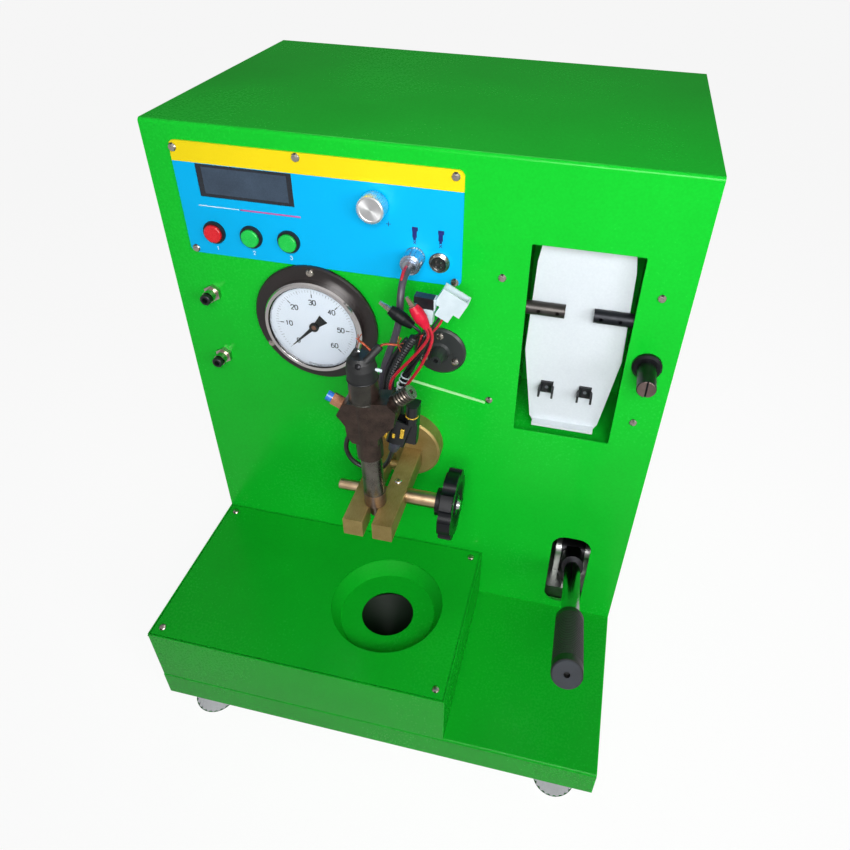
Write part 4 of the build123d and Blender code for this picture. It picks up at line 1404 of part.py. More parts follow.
def white_connectors():
    """The large two-pin connector, and the small one with its black half plugged in."""
    solids = []
    large = Plane(origin=beside(*CONNECTOR_FOOT), x_dir=FRONT, z_dir=tilted_up(CONNECTOR_TURN))
    body = large * Box(CONNECTOR_THICKNESS * 0.8, CONNECTOR_TAIL_WIDTH, CONNECTOR_TAIL_LENGTH,
                       align=BOTTOM_ALIGN)
    body += (large.offset(CONNECTOR_TAIL_LENGTH)
             * Box(CONNECTOR_THICKNESS, CONNECTOR_SIDE, CONNECTOR_LENGTH, align=BOTTOM_ALIGN))
    wall = CONNECTOR_THICKNESS / 8
    pocket = large.offset(CONNECTOR_TAIL_LENGTH + CONNECTOR_LENGTH / 3)
    body -= pocket * Box(CONNECTOR_THICKNESS - 2 * wall, CONNECTOR_SIDE - 2 * wall, CONNECTOR_LENGTH,
                         align=BOTTOM_ALIGN)
    solids.append(body)
    small = Plane(origin=beside(*SMALL_FOOT), x_dir=FRONT, z_dir=tilted_up(SMALL_TURN))
    solids.append(small * Box(SMALL_THICKNESS, SMALL_SIDE, SMALL_LENGTH, align=BOTTOM_ALIGN))
    solids.append(small.offset(SMALL_LENGTH) * Box(SMALL_THICKNESS, SMALL_CAP_SIDE, SMALL_CAP_LENGTH,
                                                   align=BOTTOM_ALIGN))
    node("white_connectors", *solids)


def tilted_up(degrees):
    """The upward direction leaned to the right by an angle."""
    turn = math.radians(degrees)
    return Vector(math.sin(turn), 0, math.cos(turn))


def injector_connector():
    """The injector's own connector, loose behind it: boot, square housing with its pocket, and the
    latched holder beside it with a round spout."""
    start, way, length = along(SENSOR_FOOT, SENSOR_TOP)
    boot_end = length * 0.3
    body = turned(start, way, (0, 0), (SENSOR_LEAD, 0), (SENSOR_BOOT, boot_end * 0.7),
                  (SENSOR_BOOT, boot_end), (0, boot_end))
    housing = Plane(origin=start + way * boot_end, x_dir=FRONT, z_dir=way)
    block_shape = Box(SENSOR_DEPTH, SENSOR_WIDTH, length - boot_end, align=BOTTOM_ALIGN)
    body += housing * softened(block_shape, SENSOR_EDGE, Axis.Z)
    holder_start, holder_way, holder_length = along(HOLDER_FOOT, HOLDER_TOP)
    holder = Plane(origin=holder_start, x_dir=FRONT, z_dir=holder_way)
    block_shape = Box(HOLDER_DEPTH, HOLDER_WIDTH, holder_length, align=BOTTOM_ALIGN)
    body += holder * softened(block_shape, SENSOR_EDGE, Axis.Z)
    low, high = [holder_length * share for share in SPOUT_SHARES]
    spout_foot = holder_start + holder_way * low - Vector(0, SPOUT_FORWARD, 0)
    body += rod(spout_foot, holder_way, SPOUT_RADIUS, high - low)
    pocket = Box(SENSOR_DEPTH - 2 * SENSOR_WALL, SENSOR_WIDTH - 2 * SENSOR_WALL,
                 length * SENSOR_POCKET_SHARE + OVERRUN, align=BOTTOM_ALIGN)
    mouth = Plane(origin=start + way * (length * (1 - SENSOR_POCKET_SHARE)), x_dir=FRONT, z_dir=way)
    node("injector_connector", body - mouth * pocket)


def main():
    """Makes every sub-part and writes each to its own file."""
    for make in (front_and_top_sheet, side_panels, tray_pan, base_plate, rear_cover, levelling_feet,
                 collecting_box, box_cover, drip_dish, drain_funnel, control_plate, display_module,
                 button_housings, button_caps, pulse_knob, socket_shells, gauge_case, gauge_bezel,
                 gauge_pointer, bulkhead_fittings, release_collars, outlet_nozzle, relief_valve,
                 window_recess, tube_board, board_shafts, tube_clips, clamp_boss, clamp_jaws, clamp_screw,
                 injector, pump_body, pump_plunger, lever, fuel_tank, driver_board, pressure_pipes,
                 mains_inlet, fasteners, harness_plug, harness_leads, tied_bundle, crocodile_clips,
                 white_connectors, injector_connector):
        make()
    os.makedirs("parts", exist_ok=True)
    for name, solids in NODES.items():
        export_step(Compound(children=list(solids)), os.path.join("parts", name + ".step"))
    print(len(NODES), "nodes")


main()
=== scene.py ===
"""Looks of the diesel injector tester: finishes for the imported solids, and the finer pieces that
the photograph shows on them, worked out as numpy surfaces."""

import math

import bpy
import numpy as np
from mathutils import Matrix, Vector


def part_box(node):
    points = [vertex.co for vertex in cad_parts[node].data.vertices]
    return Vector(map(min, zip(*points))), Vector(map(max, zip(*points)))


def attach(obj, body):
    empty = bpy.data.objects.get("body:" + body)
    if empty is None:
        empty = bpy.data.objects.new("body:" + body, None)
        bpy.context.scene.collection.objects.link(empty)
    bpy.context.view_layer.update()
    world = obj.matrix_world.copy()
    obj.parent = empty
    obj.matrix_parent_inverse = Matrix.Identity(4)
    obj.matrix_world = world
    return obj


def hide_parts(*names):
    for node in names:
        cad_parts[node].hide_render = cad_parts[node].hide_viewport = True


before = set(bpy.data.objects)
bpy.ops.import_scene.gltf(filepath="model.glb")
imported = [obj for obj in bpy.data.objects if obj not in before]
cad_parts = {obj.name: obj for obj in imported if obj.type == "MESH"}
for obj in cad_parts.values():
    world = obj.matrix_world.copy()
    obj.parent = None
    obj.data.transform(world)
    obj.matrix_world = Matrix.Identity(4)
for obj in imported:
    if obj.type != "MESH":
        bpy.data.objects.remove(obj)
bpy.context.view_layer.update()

# Places: x, y behind the front panel and z over the tray, in millimetres, as in the part's source
PANEL_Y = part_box("front_and_top_sheet")[0][1]
TRAY_Z = 0.075
MM = 0.001
RIGHT, UP, FRONT = (1, 0, 0), (0, 0, 1), (0, -1, 0)


def at(x, y, z):
    """A place in the row frame, in metres, from x, y behind the panel and z over the tray in mm."""
    return np.array([x * MM, PANEL_Y + y * MM, TRAY_Z + z * MM])


# Camera, solved from the photograph's vanishing points and the panel's circles
CAMERA_PLACE = (166.4, -591.3, 794.9)
CAMERA_TURN, CAMERA_DIP, CAMERA_ROLL = -0.207438, 0.680145, 0.029695
CAMERA_LENS, CAMERA_SENSOR = 30.089, 36.0
CAMERA_SHIFT = (-0.03155, -0.01785)


def make_camera():
    """The camera at the photograph's place: forward from its turn and dip, then rolled about it."""
    forward = Vector((math.sin(CAMERA_TURN) * math.cos(CAMERA_DIP),
                      math.cos(CAMERA_TURN) * math.cos(CAMERA_DIP), -math.sin(CAMERA_DIP)))
    right = forward.cross(Vector((0, 0, 1))).normalized()
    up = right.cross(forward)
    rolled_right = right * math.cos(CAMERA_ROLL) + up * math.sin(CAMERA_ROLL)
    rolled_up = up * math.cos(CAMERA_ROLL) - right * math.sin(CAMERA_ROLL)
    data = bpy.data.cameras.new("photo_camera")
    data.lens, data.sensor_width = CAMERA_LENS, CAMERA_SENSOR
    data.shift_x, data.shift_y = CAMERA_SHIFT
    data.clip_start, data.clip_end = 0.02, 100
    camera = bpy.data.objects.new("photo_camera", data)
    turn = Matrix((rolled_right, rolled_up, -forward)).transposed().to_4x4()
    camera.matrix_world = Matrix.Translation(Vector(at(*CAMERA_PLACE))) @ turn
    bpy.context.scene.collection.objects.link(camera)
    bpy.context.scene.camera = camera


# Cords: the routes of the part's source, with each one's diameter in mm
MAIN_LEAD = [(2.8, -26, 485.5), (2.9, -39, 485.3), (3.1, -50.2, 478.9), (3.5, -56.8, 467.8), (3, -58, 451.5),
             (-0.5, -58, 434.5), (-6, -58.5, 418), (-12, -59, 400.5), (-16.5, -59.5, 382), (-17.5, -60, 366)]
BLACK_WIRE = [(18.9, -70, 452.7), (24.5, -69.4, 449), (24.5, -66.8, 442.5), (18.8, -65.5, 438.5)]
BLACK_LOOM = [(19.5, -65.6, 439), (13.5, -65.2, 428.5), (6.5, -65, 416.5), (0.5, -64.8, 403.5),
              (-4.5, -64, 391), (-7.6, -62.5, 378.5), (-8.3, -61, 366)]
RED_WIRE = [(31.2, -73, 455), (34.2, -73, 450.2), (33.5, -73, 443), (28.5, -72.6, 434), (21.5, -72, 423.5),
            (13, -71.5, 412), (4, -71, 400.5), (-3.5, -70.2, 388.5), (-5.6, -69.3, 377), (-5.5, -69, 366)]
RED_RETURN = [(33.8, -73, 456.6), (37.6, -73, 450.6), (37.3, -72.7, 441.5), (34.5, -72, 431),
              (30, -71, 419.5), (24.8, -70, 407.5), (18.5, -69, 396), (12, -68.3, 385),
              (7.8, -67.6, 375.8), (5.5, -67.2, 366)]
RIGHT_STRAND = [(27, -57.5, 441), (25.5, -58, 430), (22, -58.6, 418.5), (16, -59.2, 405), (9.5, -59.8, 392),
                (4.6, -60, 379), (3.2, -60, 366)]
CONNECTOR_WIRES = [[(39.6, -50, 455.2), (35.5, -52.5, 447.4), (28.5, -57, 438.5)],
                   [(42.4, -50, 453.8), (37.5, -53.5, 444), (28, -58, 434)]]
SMALL_WIRE = [(25, -54, 450), (25.3, -55.5, 445), (26.5, -57.5, 439)]
SENSOR_PATH = [(-13, -62, 344), (-14, -63.5, 334), (-21, -66, 327.5), (-32, -68.5, 325), (-43, -71, 320),
               (-51, -73.5, 310), (-54.5, -75, 297), (-51.5, -76, 284), (-43, -76.5, 275), (-31, -76.5, 271),
               (-19, -77.5, 273.5), (-10.5, -79, 283), (-4.5, -80, 296), (-1, -80, 309)]
LEAD, WIRE, SENSOR_LEAD, THIN_WIRE, LOOM = 7.0, 3.0, 5.0, 2.6, 8.5


def mesh_points(mesh):
    """A mesh's points as an array in metres."""
    flat = np.empty(len(mesh.vertices) * 3)
    mesh.vertices.foreach_get("co", flat)
    return flat.reshape(-1, 3)


def spline(name, places, diameter):
    """A round cord on one open NURBS curve whose control points are the route's points."""
    data = bpy.data.curves.new(name, "CURVE")
    data.dimensions = "3D"
    data.bevel_depth = diameter / 2 * MM
    data.bevel_resolution = 5
    data.use_fill_caps = True
    line = data.splines.new("NURBS")
    line.points.add(len(places) - 1)
    for point, place in zip(line.points, places):
        point.co = (*at(*place), 1)
    line.order_u = 3
    line.use_endpoint_u = True
    line.resolution_u = 10
    obj = bpy.data.objects.new(name, data)
    bpy.context.scene.collection.objects.link(obj)
    return obj


def centreline(obj):
    """The points of a cord's own curve, read from it with no bevel, as an array in metres."""
    data = obj.data.copy()
    data.bevel_depth = 0
    bare = bpy.data.objects.new("bare_line", data)
    mesh = bpy.data.meshes.new_from_object(bare)
    points = mesh_points(mesh)
    bpy.data.objects.remove(bare)
    bpy.data.curves.remove(data)
    bpy.data.meshes.remove(mesh)
    return points


# Surfaces
def new_object(name, points, faces, smooth=True):
    """A mesh object at the origin from an array of points and lists of faces."""
    mesh = bpy.data.meshes.new(name)
    mesh.from_pydata(points.reshape(-1, 3).tolist(), [], faces)
    mesh.validate()
    mesh.polygons.foreach_set("use_smooth", np.full(len(mesh.polygons), smooth))
    mesh.update()
    obj = bpy.data.objects.new(name, mesh)
    bpy.context.scene.collection.objects.link(obj)
    return obj


def grid_faces(rows, columns, wrap_rows, wrap_columns, first=0):
    """The quads of a rows by columns grid, closed round in either way."""
    u = np.arange(rows if wrap_rows else rows - 1)
    v = np.arange(columns if wrap_columns else columns - 1)
    u, v = [a.ravel() for a in np.meshgrid(u, v, indexing="ij")]
    u2, v2 = (u + 1) % rows, (v + 1) % columns
    quads = np.stack([u * columns + v, u * columns + v2, u2 * columns + v2, u2 * columns + v], 1)
    return (quads + first).tolist()


def surface(name, points, wrap_rows=False, wrap_columns=True, caps=True, smooth=True):
    """A piece from a grid of points, rows by columns; caps close the first and last row."""
    rows, columns = points.shape[:2]
    faces = grid_faces(rows, columns, wrap_rows, wrap_columns)
    if caps and not wrap_rows:
        faces.append(list(range(columns))[::-1])
        faces.append(list(range((rows - 1) * columns, rows * columns)))
    return new_object(name, points, faces, smooth)


def joined(name, objects, smooth=True):
    """One object from several, which keep their places."""
    points, faces, first = [], [], 0
    for obj in objects:
        mesh = obj.data
        points += [tuple(v.co) for v in mesh.vertices]
        faces += [[first + i for i in face.vertices] for face in mesh.polygons]
        first = len(points)
        bpy.data.objects.remove(obj)
        bpy.data.meshes.remove(mesh)
    return new_object(name, np.array(points), faces, smooth)


def axes_along(way):
    """Two unit directions square to a direction and to each other."""
    way = np.asarray(way, float) / np.linalg.norm(way)
    helper = np.array([0, 0, 1.0]) if abs(way[2]) < 0.9 else np.array([1.0, 0, 0])
    side = np.cross(helper, way)
    side /= np.linalg.norm(side)
    return way, side, np.cross(way, side)


def turned(name, start, way, profile, sides=48, smooth=True):
    """A turned piece: each (radius, height) in mm of the profile becomes a circle of that radius
    about the axis at that height; a small radius closes an end."""
    way, side, across = axes_along(way)
    profile = np.asarray(profile, float) * MM
    angle = np.arange(sides) * 2 * math.pi / sides
    circle = np.cos(angle)[:, None] * side + np.sin(angle)[:, None] * across
    points = (np.asarray(start) + profile[:, 1, None, None] * way
              + profile[:, 0, None, None] * circle[None])
    return surface(name, points, smooth=smooth)


def resample(line, step):
    """A line's points at an even spacing (m) along it, by linear interpolation on its own length."""
    lengths = np.concatenate([[0], np.cumsum(np.linalg.norm(np.diff(line, axis=0), axis=1))])
    places = np.linspace(0, lengths[-1], max(2, int(lengths[-1] / step) + 1))
    return np.stack([np.interp(places, lengths, line[:, i]) for i in range(3)], 1)


def moved_frames(line):
    """Two unit directions square to a line at each of its points, carried along without twist."""
    way = np.gradient(np.asarray(line, float), axis=0)
    way /= np.linalg.norm(way, axis=1)[:, None]
    _, side, _ = axes_along(way[0])
    sides = [side]
    for step in way[1:]:
        side = sides[-1] - step * np.dot(sides[-1], step)
        sides.append(side / np.linalg.norm(side))
    sides = np.array(sides)
    return sides, np.cross(way, sides)


def tube(name, line, radius, sides=12, wave=None):
    """A tube round a line of points: at each point a circle of the radius (m), plus what the wave
    array adds to it there, square to the line."""
    line = np.asarray(line, float)
    side, across = moved_frames(line)
    angle = np.arange(sides) * 2 * math.pi / sides
    reach = np.broadcast_to(radius, len(line)) + (0 if wave is None else wave)
    circle = np.cos(angle)[None, :, None] * side[:, None] + np.sin(angle)[None, :, None] * across[:, None]
    return surface(name, line[:, None] + reach[:, None, None] * circle)


def cut_corners(line, times):
    """A rounder line: every run gives way to its points at a quarter and three quarters (Chaikin)."""
    line = np.asarray(line, float)
    for _ in range(times):
        cut = np.stack([line[:-1] * 0.75 + line[1:] * 0.25, line[:-1] * 0.25 + line[1:] * 0.75], 1)
        line = np.concatenate([line[:1], cut.reshape(-1, line.shape[1]), line[-1:]])
    return line


def smooth_line(places, step=0.6):
    """A rounded line (m) near a chain of places (mm): its corners are cut four times, then its points
    are spaced evenly at the step (mm)."""
    return resample(cut_corners([at(*p) for p in places], 4), step * MM)


def round_about(line, radius, turns, phase):
    """A helix (m) about a line: radius (mm) away from it, with so many turns from the phase (turns)."""
    side, across = moved_frames(line)
    angle = 2 * math.pi * (phase + turns * np.linspace(0, 1, len(line)))
    return line + radius * MM * (np.cos(angle)[:, None] * side + np.sin(angle)[:, None] * across)


def superbar(name, start, end, half_wide, half_deep, deep_way, power=4.0, swell=0.0):
    """A moulded bar between two places (mm): every section is the superellipse |u|^p + |v|^p = 1
    scaled to the half sizes, which gain the swell in the middle, with rounded ends."""
    start, end = np.array(start, float), np.array(end, float)
    length = np.linalg.norm(end - start)
    way = (end - start) / length
    deep = np.array(deep_way, float)
    deep -= way * np.dot(deep, way)
    deep /= np.linalg.norm(deep)
    wide = np.cross(way, deep)
    t = 0.5 - 0.5 * np.cos(np.linspace(0, math.pi, 25))
    shrink = (1 - np.abs(2 * t - 1) ** (length / min(half_wide, half_deep) * 1.5)) ** 0.4
    shrink[[0, -1]] = 0.02
    shrink = shrink * (1 + swell * np.sin(math.pi * t))
    angle = np.arange(36) * 2 * math.pi / 36
    u = np.sign(np.cos(angle)) * np.abs(np.cos(angle)) ** (2 / power) * half_wide
    v = np.sign(np.sin(angle)) * np.abs(np.sin(angle)) ** (2 / power) * half_deep
    section = u[:, None] * wide + v[:, None] * deep
    points = start + t[:, None, None] * length * way + shrink[:, None, None] * section[None]
    return surface(name, at(0, 0, 0) + points * MM)


# Materials
def linear(colour, alpha=1.0):
    """An sRGB hex colour as linear red, green, blue and alpha."""
    raw = np.array([int(colour[i:i + 2], 16) / 255 for i in (1, 3, 5)])
    return (*np.where(raw <= 0.04045, raw / 12.92, ((raw + 0.055) / 1.055) ** 2.4).tolist(), alpha)


def add(tree, kind, values=None, links=None, **settings):
    """Adds a node with its settings, its sockets' values and the outputs linked to its sockets."""
    node = tree.nodes.new("ShaderNode" + kind)
    for key, value in settings.items():
        setattr(node, key, value)
    for key, value in (values or {}).items():
        node.inputs[key].default_value = value
    for key, output in (links or {}).items():
        tree.links.new(output, node.inputs[key])
    return node


def blank(name):
    """A new material with only its output and principled shader."""
    material = bpy.data.materials.new(name)
    material.use_nodes = True
    tree = material.node_tree
    tree.nodes.clear()
    shader = add(tree, "BsdfPrincipled")
    add(tree, "OutputMaterial", links={"Surface": shader.outputs["BSDF"]})
    return material, tree, shader


def past(*planes):
    """A zone of a finish: the places beyond every plane, each a direction and its reach (mm)."""
    def share(tree, place):
        inside = None
        for way, reach in planes:
            along = add(tree, "VectorMath", {1: way}, {0: place}, operation="DOT_PRODUCT").outputs["Value"]
            limit = reach * MM + float(np.dot(way, at(0, 0, 0)))
            here = add(tree, "Math", {1: limit}, {0: along}, operation="GREATER_THAN").outputs[0]
            inside = here if inside is None else add(tree, "Math", links={0: inside, 1: here},
                                                     operation="MULTIPLY").outputs[0]
        return inside
    return share


def around(x, z, radius, *planes):
    """A zone of a finish: nearer than the radius (mm) to the front-to-back axis through x and z, and
    beyond every plane."""
    def share(tree, place):
        centre = tuple(at(x, 0, z))
        off = add(tree, "VectorMath", {1: centre}, {0: place}, operation="SUBTRACT").outputs["Vector"]
        flat = add(tree, "VectorMath", {1: (1, 0, 1)}, {0: off}, operation="MULTIPLY").outputs["Vector"]
        away = add(tree, "VectorMath", links={0: flat}, operation="LENGTH").outputs["Value"]
        inside = add(tree, "Math", {1: radius * MM}, {0: away}, operation="LESS_THAN").outputs[0]
        if not planes:
            return inside
        return add(tree, "Math", links={0: inside, 1: past(*planes)(tree, place)},
                   operation="MULTIPLY").outputs[0]
    return share


def finish(name, light, dark, rough, patch=60.0, grain=1.0, depth=0.01, lay=(1, 1, 1), metallic=0.0,
           zones=(), spun=None, sockets=None):
    """A surface with two tones in broad patches and fine grain (mm), whose grain also moves the
    roughness and raises a bump of the given depth (mm). lay stretches the grain along an axis.
    Each zone gives a place its own light and dark tone, roughness range and metallic share."""
    material, tree, shader = blank(name)
    place = add(tree, "TexCoord").outputs["Object"]
    laid = add(tree, "Mapping", {"Scale": lay}, {"Vector": place}).outputs["Vector"]
    patches = add(tree, "TexNoise", {"Scale": 1000 / patch, "Detail": 3.0}, {"Vector": place})
    grains = add(tree, "TexNoise", {"Scale": 1000 / grain, "Detail": 4.0}, {"Vector": laid})
    both = add(tree, "Mix", {"Factor": 0.45}, {"A": patches.outputs["Fac"], "B": grains.outputs["Fac"]})
    share = add(tree, "MapRange", {"From Min": 0.35, "From Max": 0.65}, {"Value": both.outputs["Result"]})

    def tone(pale, deep):
        mixed = add(tree, "Mix", {"A": linear(deep), "B": linear(pale)}, {"Factor": share.outputs["Result"]},
                    data_type="RGBA")
        return mixed.outputs["Result"]

    def gloss(low, high):
        spread = add(tree, "MapRange", {"From Min": 0.3, "From Max": 0.7, "To Min": low, "To Max": high},
                     {"Value": both.outputs["Result"]})
        return spread.outputs["Result"]

    colour, roughness = tone(light, dark), gloss(*rough)
    metal = None
    mixed_metal = any(zone[4] != metallic for zone in zones)
    if not mixed_metal:
        shader.inputs["Metallic"].default_value = metallic
    for region, pale, deep, zone_rough, zone_metallic in zones:
        inside = region(tree, place)
        colour = add(tree, "Mix", links={"Factor": inside, "A": colour, "B": tone(pale, deep)},
                     data_type="RGBA").outputs["Result"]
        roughness = add(tree, "Mix", links={"Factor": inside, "A": roughness, "B": gloss(*zone_rough)}
                        ).outputs["Result"]
        if mixed_metal:
            values = {"B": zone_metallic} if metal else {"A": metallic, "B": zone_metallic}
            links = {"Factor": inside, "A": metal} if metal else {"Factor": inside}
            metal = add(tree, "Mix", values, links).outputs["Result"]
    tree.links.new(colour, shader.inputs["Base Color"])
    tree.links.new(roughness, shader.inputs["Roughness"])
    if metal:
        tree.links.new(metal, shader.inputs["Metallic"])
    bump = add(tree, "Bump", {"Strength": 1.0, "Distance": depth * MM}, {"Height": grains.outputs["Fac"]})
    tree.links.new(bump.outputs["Normal"], shader.inputs["Normal"])
    if spun:
        shader.inputs["Anisotropic"].default_value = 0.75
        ring = add(tree, "Tangent", direction_type="RADIAL", axis=spun)
        tree.links.new(ring.outputs["Tangent"], shader.inputs["Tangent"])
    for key, value in (sockets or {}).items():
        shader.inputs[key].default_value = value
    return material


def clear_glass():
    """Float glass of the gauge: clear, with only a thin haze of reflections."""
    material, tree, shader = blank("float_glass")
    noise = add(tree, "TexNoise", {"Scale": 30.0})
    gloss = add(tree, "MapRange", {"To Min": 0.0, "To Max": 0.03}, {"Value": noise.outputs["Fac"]})
    tree.links.new(gloss.outputs["Result"], shader.inputs["Roughness"])
    shader.inputs["Base Color"].default_value = linear("#0A0C0E")
    shader.inputs["Alpha"].default_value = 0.02
    return material


# Places that the finishes' zones need, in mm as in the part's source
LEFT, BACK, DOWN = (-1, 0, 0), (0, 1, 0), (0, 0, -1)
HEADER_FOOT = 552.5
DISPLAY_WINDOW = ((RIGHT, -204.5), (LEFT, 119.5), (UP, 523.2), (DOWN, -548.8), (FRONT, 0.5))
GAUGE_X, GAUGE_Z, BEZEL_BLACK = -104.0, 395.0, 48.2
SOCKETS, SOCKET_BORE, INSERT_FLOOR = [(2.8, 485.5), (26.6, 482.7)], 7.35, -4.75
CLIPS_Z, CLIPS_X, CLIP_SCREW = 346.0, (140.0, 180.0), 1.9
WINDOW_X, VALVE_END, WHEEL_FACE = 160.0, 39.5, 67.9
TIES_FOOT, SMALL_CAP = 366.5, ((0.0698, 0, 0.9976), 465.65)
STUD_WAY, RETURN_WAY, SPAN_WAY = (0.7206, 0, 0.6934), (-0.898, 0, 0.440), (0.75, 0, 0.66)


def tip_of_lever():
    """The lever's direction, from the spread of its rod's points, and the reach of its grip's end."""
    rod, grip = [mesh_points(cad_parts[name].data) for name in ("lever_rod", "lever_grip")]
    way = np.linalg.svd(rod - rod.mean(0), full_matrices=False)[2][0]
    way = way * (-1 if way[1] > 0 else 1)
    reach = float((grip @ way).max() - np.dot(at(0, 0, 0), way)) / MM
    return tuple(way.tolist()), reach


# Stoved gloss enamel on sheet steel: strong even green, soft reflections broken by orange peel
ENAMEL = finish("green_stoving_enamel", "#10BE2C", "#0DB126", (0.2, 0.3), patch=160, grain=2.4, depth=0.008,
                sockets={"Specular IOR Level": 0.16})
# The same enamel on the box, the tray and the dish, painted a little darker: painted shade for the weaker
# light low down
SHADED_ENAMEL = finish("green_enamel_painted_shade", "#0FAE26", "#0CA121", (0.2, 0.3), patch=160, grain=2.4, depth=0.008,
                    sockets={"Specular IOR Level": 0.16})
# Screen-printed film on an aluminium plate: flat blue with a yellow header, satin surface
PLATE = finish("printed_plate", "#04AEE9", "#04A8E2", (0.3, 0.38), patch=90, grain=0.9, depth=0.004,
               zones=[(past((UP, HEADER_FOOT)), "#ECD31A", "#E4CA15", (0.3, 0.38), 0.0)],
               sockets={"Specular IOR Level": 0.15})
# Display under its window: slate glass, paler in the middle, nearly black at the rim
SCREEN = finish("display_glass", "#1D242E", "#171C24", (0.08, 0.14), patch=30, grain=1.0, depth=0.002,
                zones=[(past(*DISPLAY_WINDOW), "#3A4B5E", "#2C3B4C", (0.08, 0.14), 0.0)])
# Zinc plated steel: pale grey, mottled, half dull
ZINC = finish("zinc_plated_steel", "#B9BBB8", "#9FA19E", (0.3, 0.45), patch=14, grain=0.8, depth=0.006,
              metallic=1.0)
# Yellow passivated zinc over sawn steel: brassy grey-brown with fine saw lines across
YELLOW_ZINC = finish("yellow_passivated_zinc", "#AA9460", "#8A7444", (0.45, 0.58), patch=16, grain=0.7,
                     depth=0.01, lay=(1, 0.15, 1), metallic=0.65)
# Turned bronze: warm pinkish gold, fine turning marks
BRONZE = finish("turned_bronze", "#C8AE8E", "#A88E6E", (0.26, 0.38), patch=12, grain=0.6, depth=0.006,
                lay=(4, 1, 1), metallic=1.0)
# Polished chromium: mirror with very slight haze
CHROME = finish("polished_chromium", "#D6D8DB", "#C4C6CA", (0.1, 0.18), patch=25, grain=1.2, depth=0.001,
                metallic=1.0)
# Chromium bezel with its black inner ring
BEZEL = finish("chromium_bezel", "#D6D2D0", "#C6C2C2", (0.1, 0.18), patch=25, grain=1.2, depth=0.001,
               metallic=1.0, zones=[(around(GAUGE_X, GAUGE_Z, BEZEL_BLACK), "#14161A", "#0E1014",
                                     (0.2, 0.3), 0.0)])
# Nickel plated brass: warmer and a little duller than chromium
NICKEL = finish("nickel_plated_brass", "#C4BDB4", "#AEA69C", (0.16, 0.26), patch=10, grain=0.5, depth=0.002,
                metallic=1.0)
# Satin nickel of the plug: pale and cool
SATIN_NICKEL = finish("satin_nickel", "#CCD2DC", "#B8BEC8", (0.2, 0.32), patch=10, grain=0.5, depth=0.002,
                      metallic=1.0)
# The sockets: warm nickel round a black insert with bright pins
SOCKET = finish("socket_nickel_and_insert", "#C8C6C2", "#B2AFA9", (0.16, 0.26), patch=10, grain=0.5,
                depth=0.002, metallic=1.0,
                zones=[(around(x, z, SOCKET_BORE, (BACK, INSERT_FLOOR)), "#17181A", "#101113",
                        (0.35, 0.5), 0.0) for x, z in SOCKETS])
# Spun aluminium: pale, with the fan of light that rings of turning give
ALUMINIUM = finish("spun_aluminium", "#EDEDEE", "#DEDFE0", (0.3, 0.42), patch=12, grain=0.5, depth=0.003,
                   metallic=1.0, spun="Y")
# Moulded black ABS: charcoal, fine spark-eroded grain
BLACK_ABS = finish("moulded_black_abs", "#1A1C1F", "#121416", (0.32, 0.46), patch=18, grain=0.45, depth=0.012,
                   sockets={"Specular IOR Level": 0.35})
# The outlet nozzle: the same black plastic, polished, its base painted greyer than the other black parts:
# painted sheen
NOZZLE = finish("polished_black_abs", "#2B2F2F", "#202424", (0.26, 0.36), patch=18, grain=0.6, depth=0.008)
# Clips of black nylon with grey screws through them
CLIP = finish("clip_nylon", "#16181B", "#101214", (0.35, 0.5), patch=18, grain=0.45, depth=0.01,
              zones=[(around(x, CLIPS_Z, CLIP_SCREW), "#8E949A", "#7A8086", (0.3, 0.4), 1.0)
                     for x in CLIPS_X])
# Glossy phenolic of the handwheel, with its bright cap screw
PHENOLIC = finish("black_phenolic", "#0B0E12", "#07090C", (0.24, 0.36), patch=18, grain=0.8, depth=0.006,
                  sockets={"Specular IOR Level": 0.28},
                  zones=[(past((RIGHT, WHEEL_FACE)), "#C6C8CA", "#B0B2B4", (0.15, 0.25), 1.0)])
# Soft vinyl of cord jackets and boots, smooth and half glossy: black, the main lead's grey-black, red
VINYL = finish("black_vinyl", "#191A1D", "#111215", (0.28, 0.42), patch=9, grain=0.6, depth=0.006)
CABLE = finish("grey_black_vinyl", "#46424B", "#383540", (0.35, 0.5), patch=9, grain=0.6, depth=0.006)
RED_VINYL = finish("red_vinyl", "#BE1A30", "#A01227", (0.3, 0.44), patch=9, grain=0.6, depth=0.006)
# Grip of black rubber; its end face is painted paler blue-grey, a painted highlight where light catches the
# end
GRIP_WAY, GRIP_REACH = tip_of_lever()
RUBBER = finish("grip_rubber", "#0C100E", "#080A09", (0.42, 0.55), patch=12, grain=0.7, depth=0.01,
                zones=[(past((GRIP_WAY, GRIP_REACH - 0.8)), "#262B32", "#1C2026", (0.45, 0.6), 0.0)])
# The tied bundle: black tape below, natural ties above with one long pale green tail
TIES = finish("bundle_tape_and_ties", "#17181B", "#101113", (0.4, 0.55), patch=9, grain=0.6, depth=0.008,
              zones=[(past((UP, TIES_FOOT)), "#E0E4E8", "#D0D4DA", (0.3, 0.42), 0.0),
                     (past((UP, TIES_FOOT), (RIGHT, 14.0)), "#9FDD98", "#8ECF88", (0.35, 0.5), 0.0)])
# Crocodile clips: a black and a red sleeve with nickel jaws
CROCODILE = finish("crocodile_sleeves", "#0C1012", "#07090B", (0.4, 0.52), patch=9, grain=0.6, depth=0.006,
                   sockets={"Specular IOR Level": 0.16},
                   zones=[(past((SPAN_WAY, 319.0)), "#CC1E3A", "#B81730", (0.26, 0.38), 0.0),
                          (past(((-0.835, 0, 0.549), 258.2)), "#BDB6AC", "#A39C92", (0.2, 0.32), 1.0),
                          (past((SPAN_WAY, 319.0), ((-0.543, 0, 0.84), 388.3)), "#C9A79C", "#B08E84",
                           (0.25, 0.35), 1.0)])
# Bare stranded copper: warm orange-brown, bright along the hairs
COPPER = finish("bare_copper", "#B4583C", "#8C4029", (0.22, 0.36), patch=5, grain=0.4, depth=0.004,
                metallic=0.7)
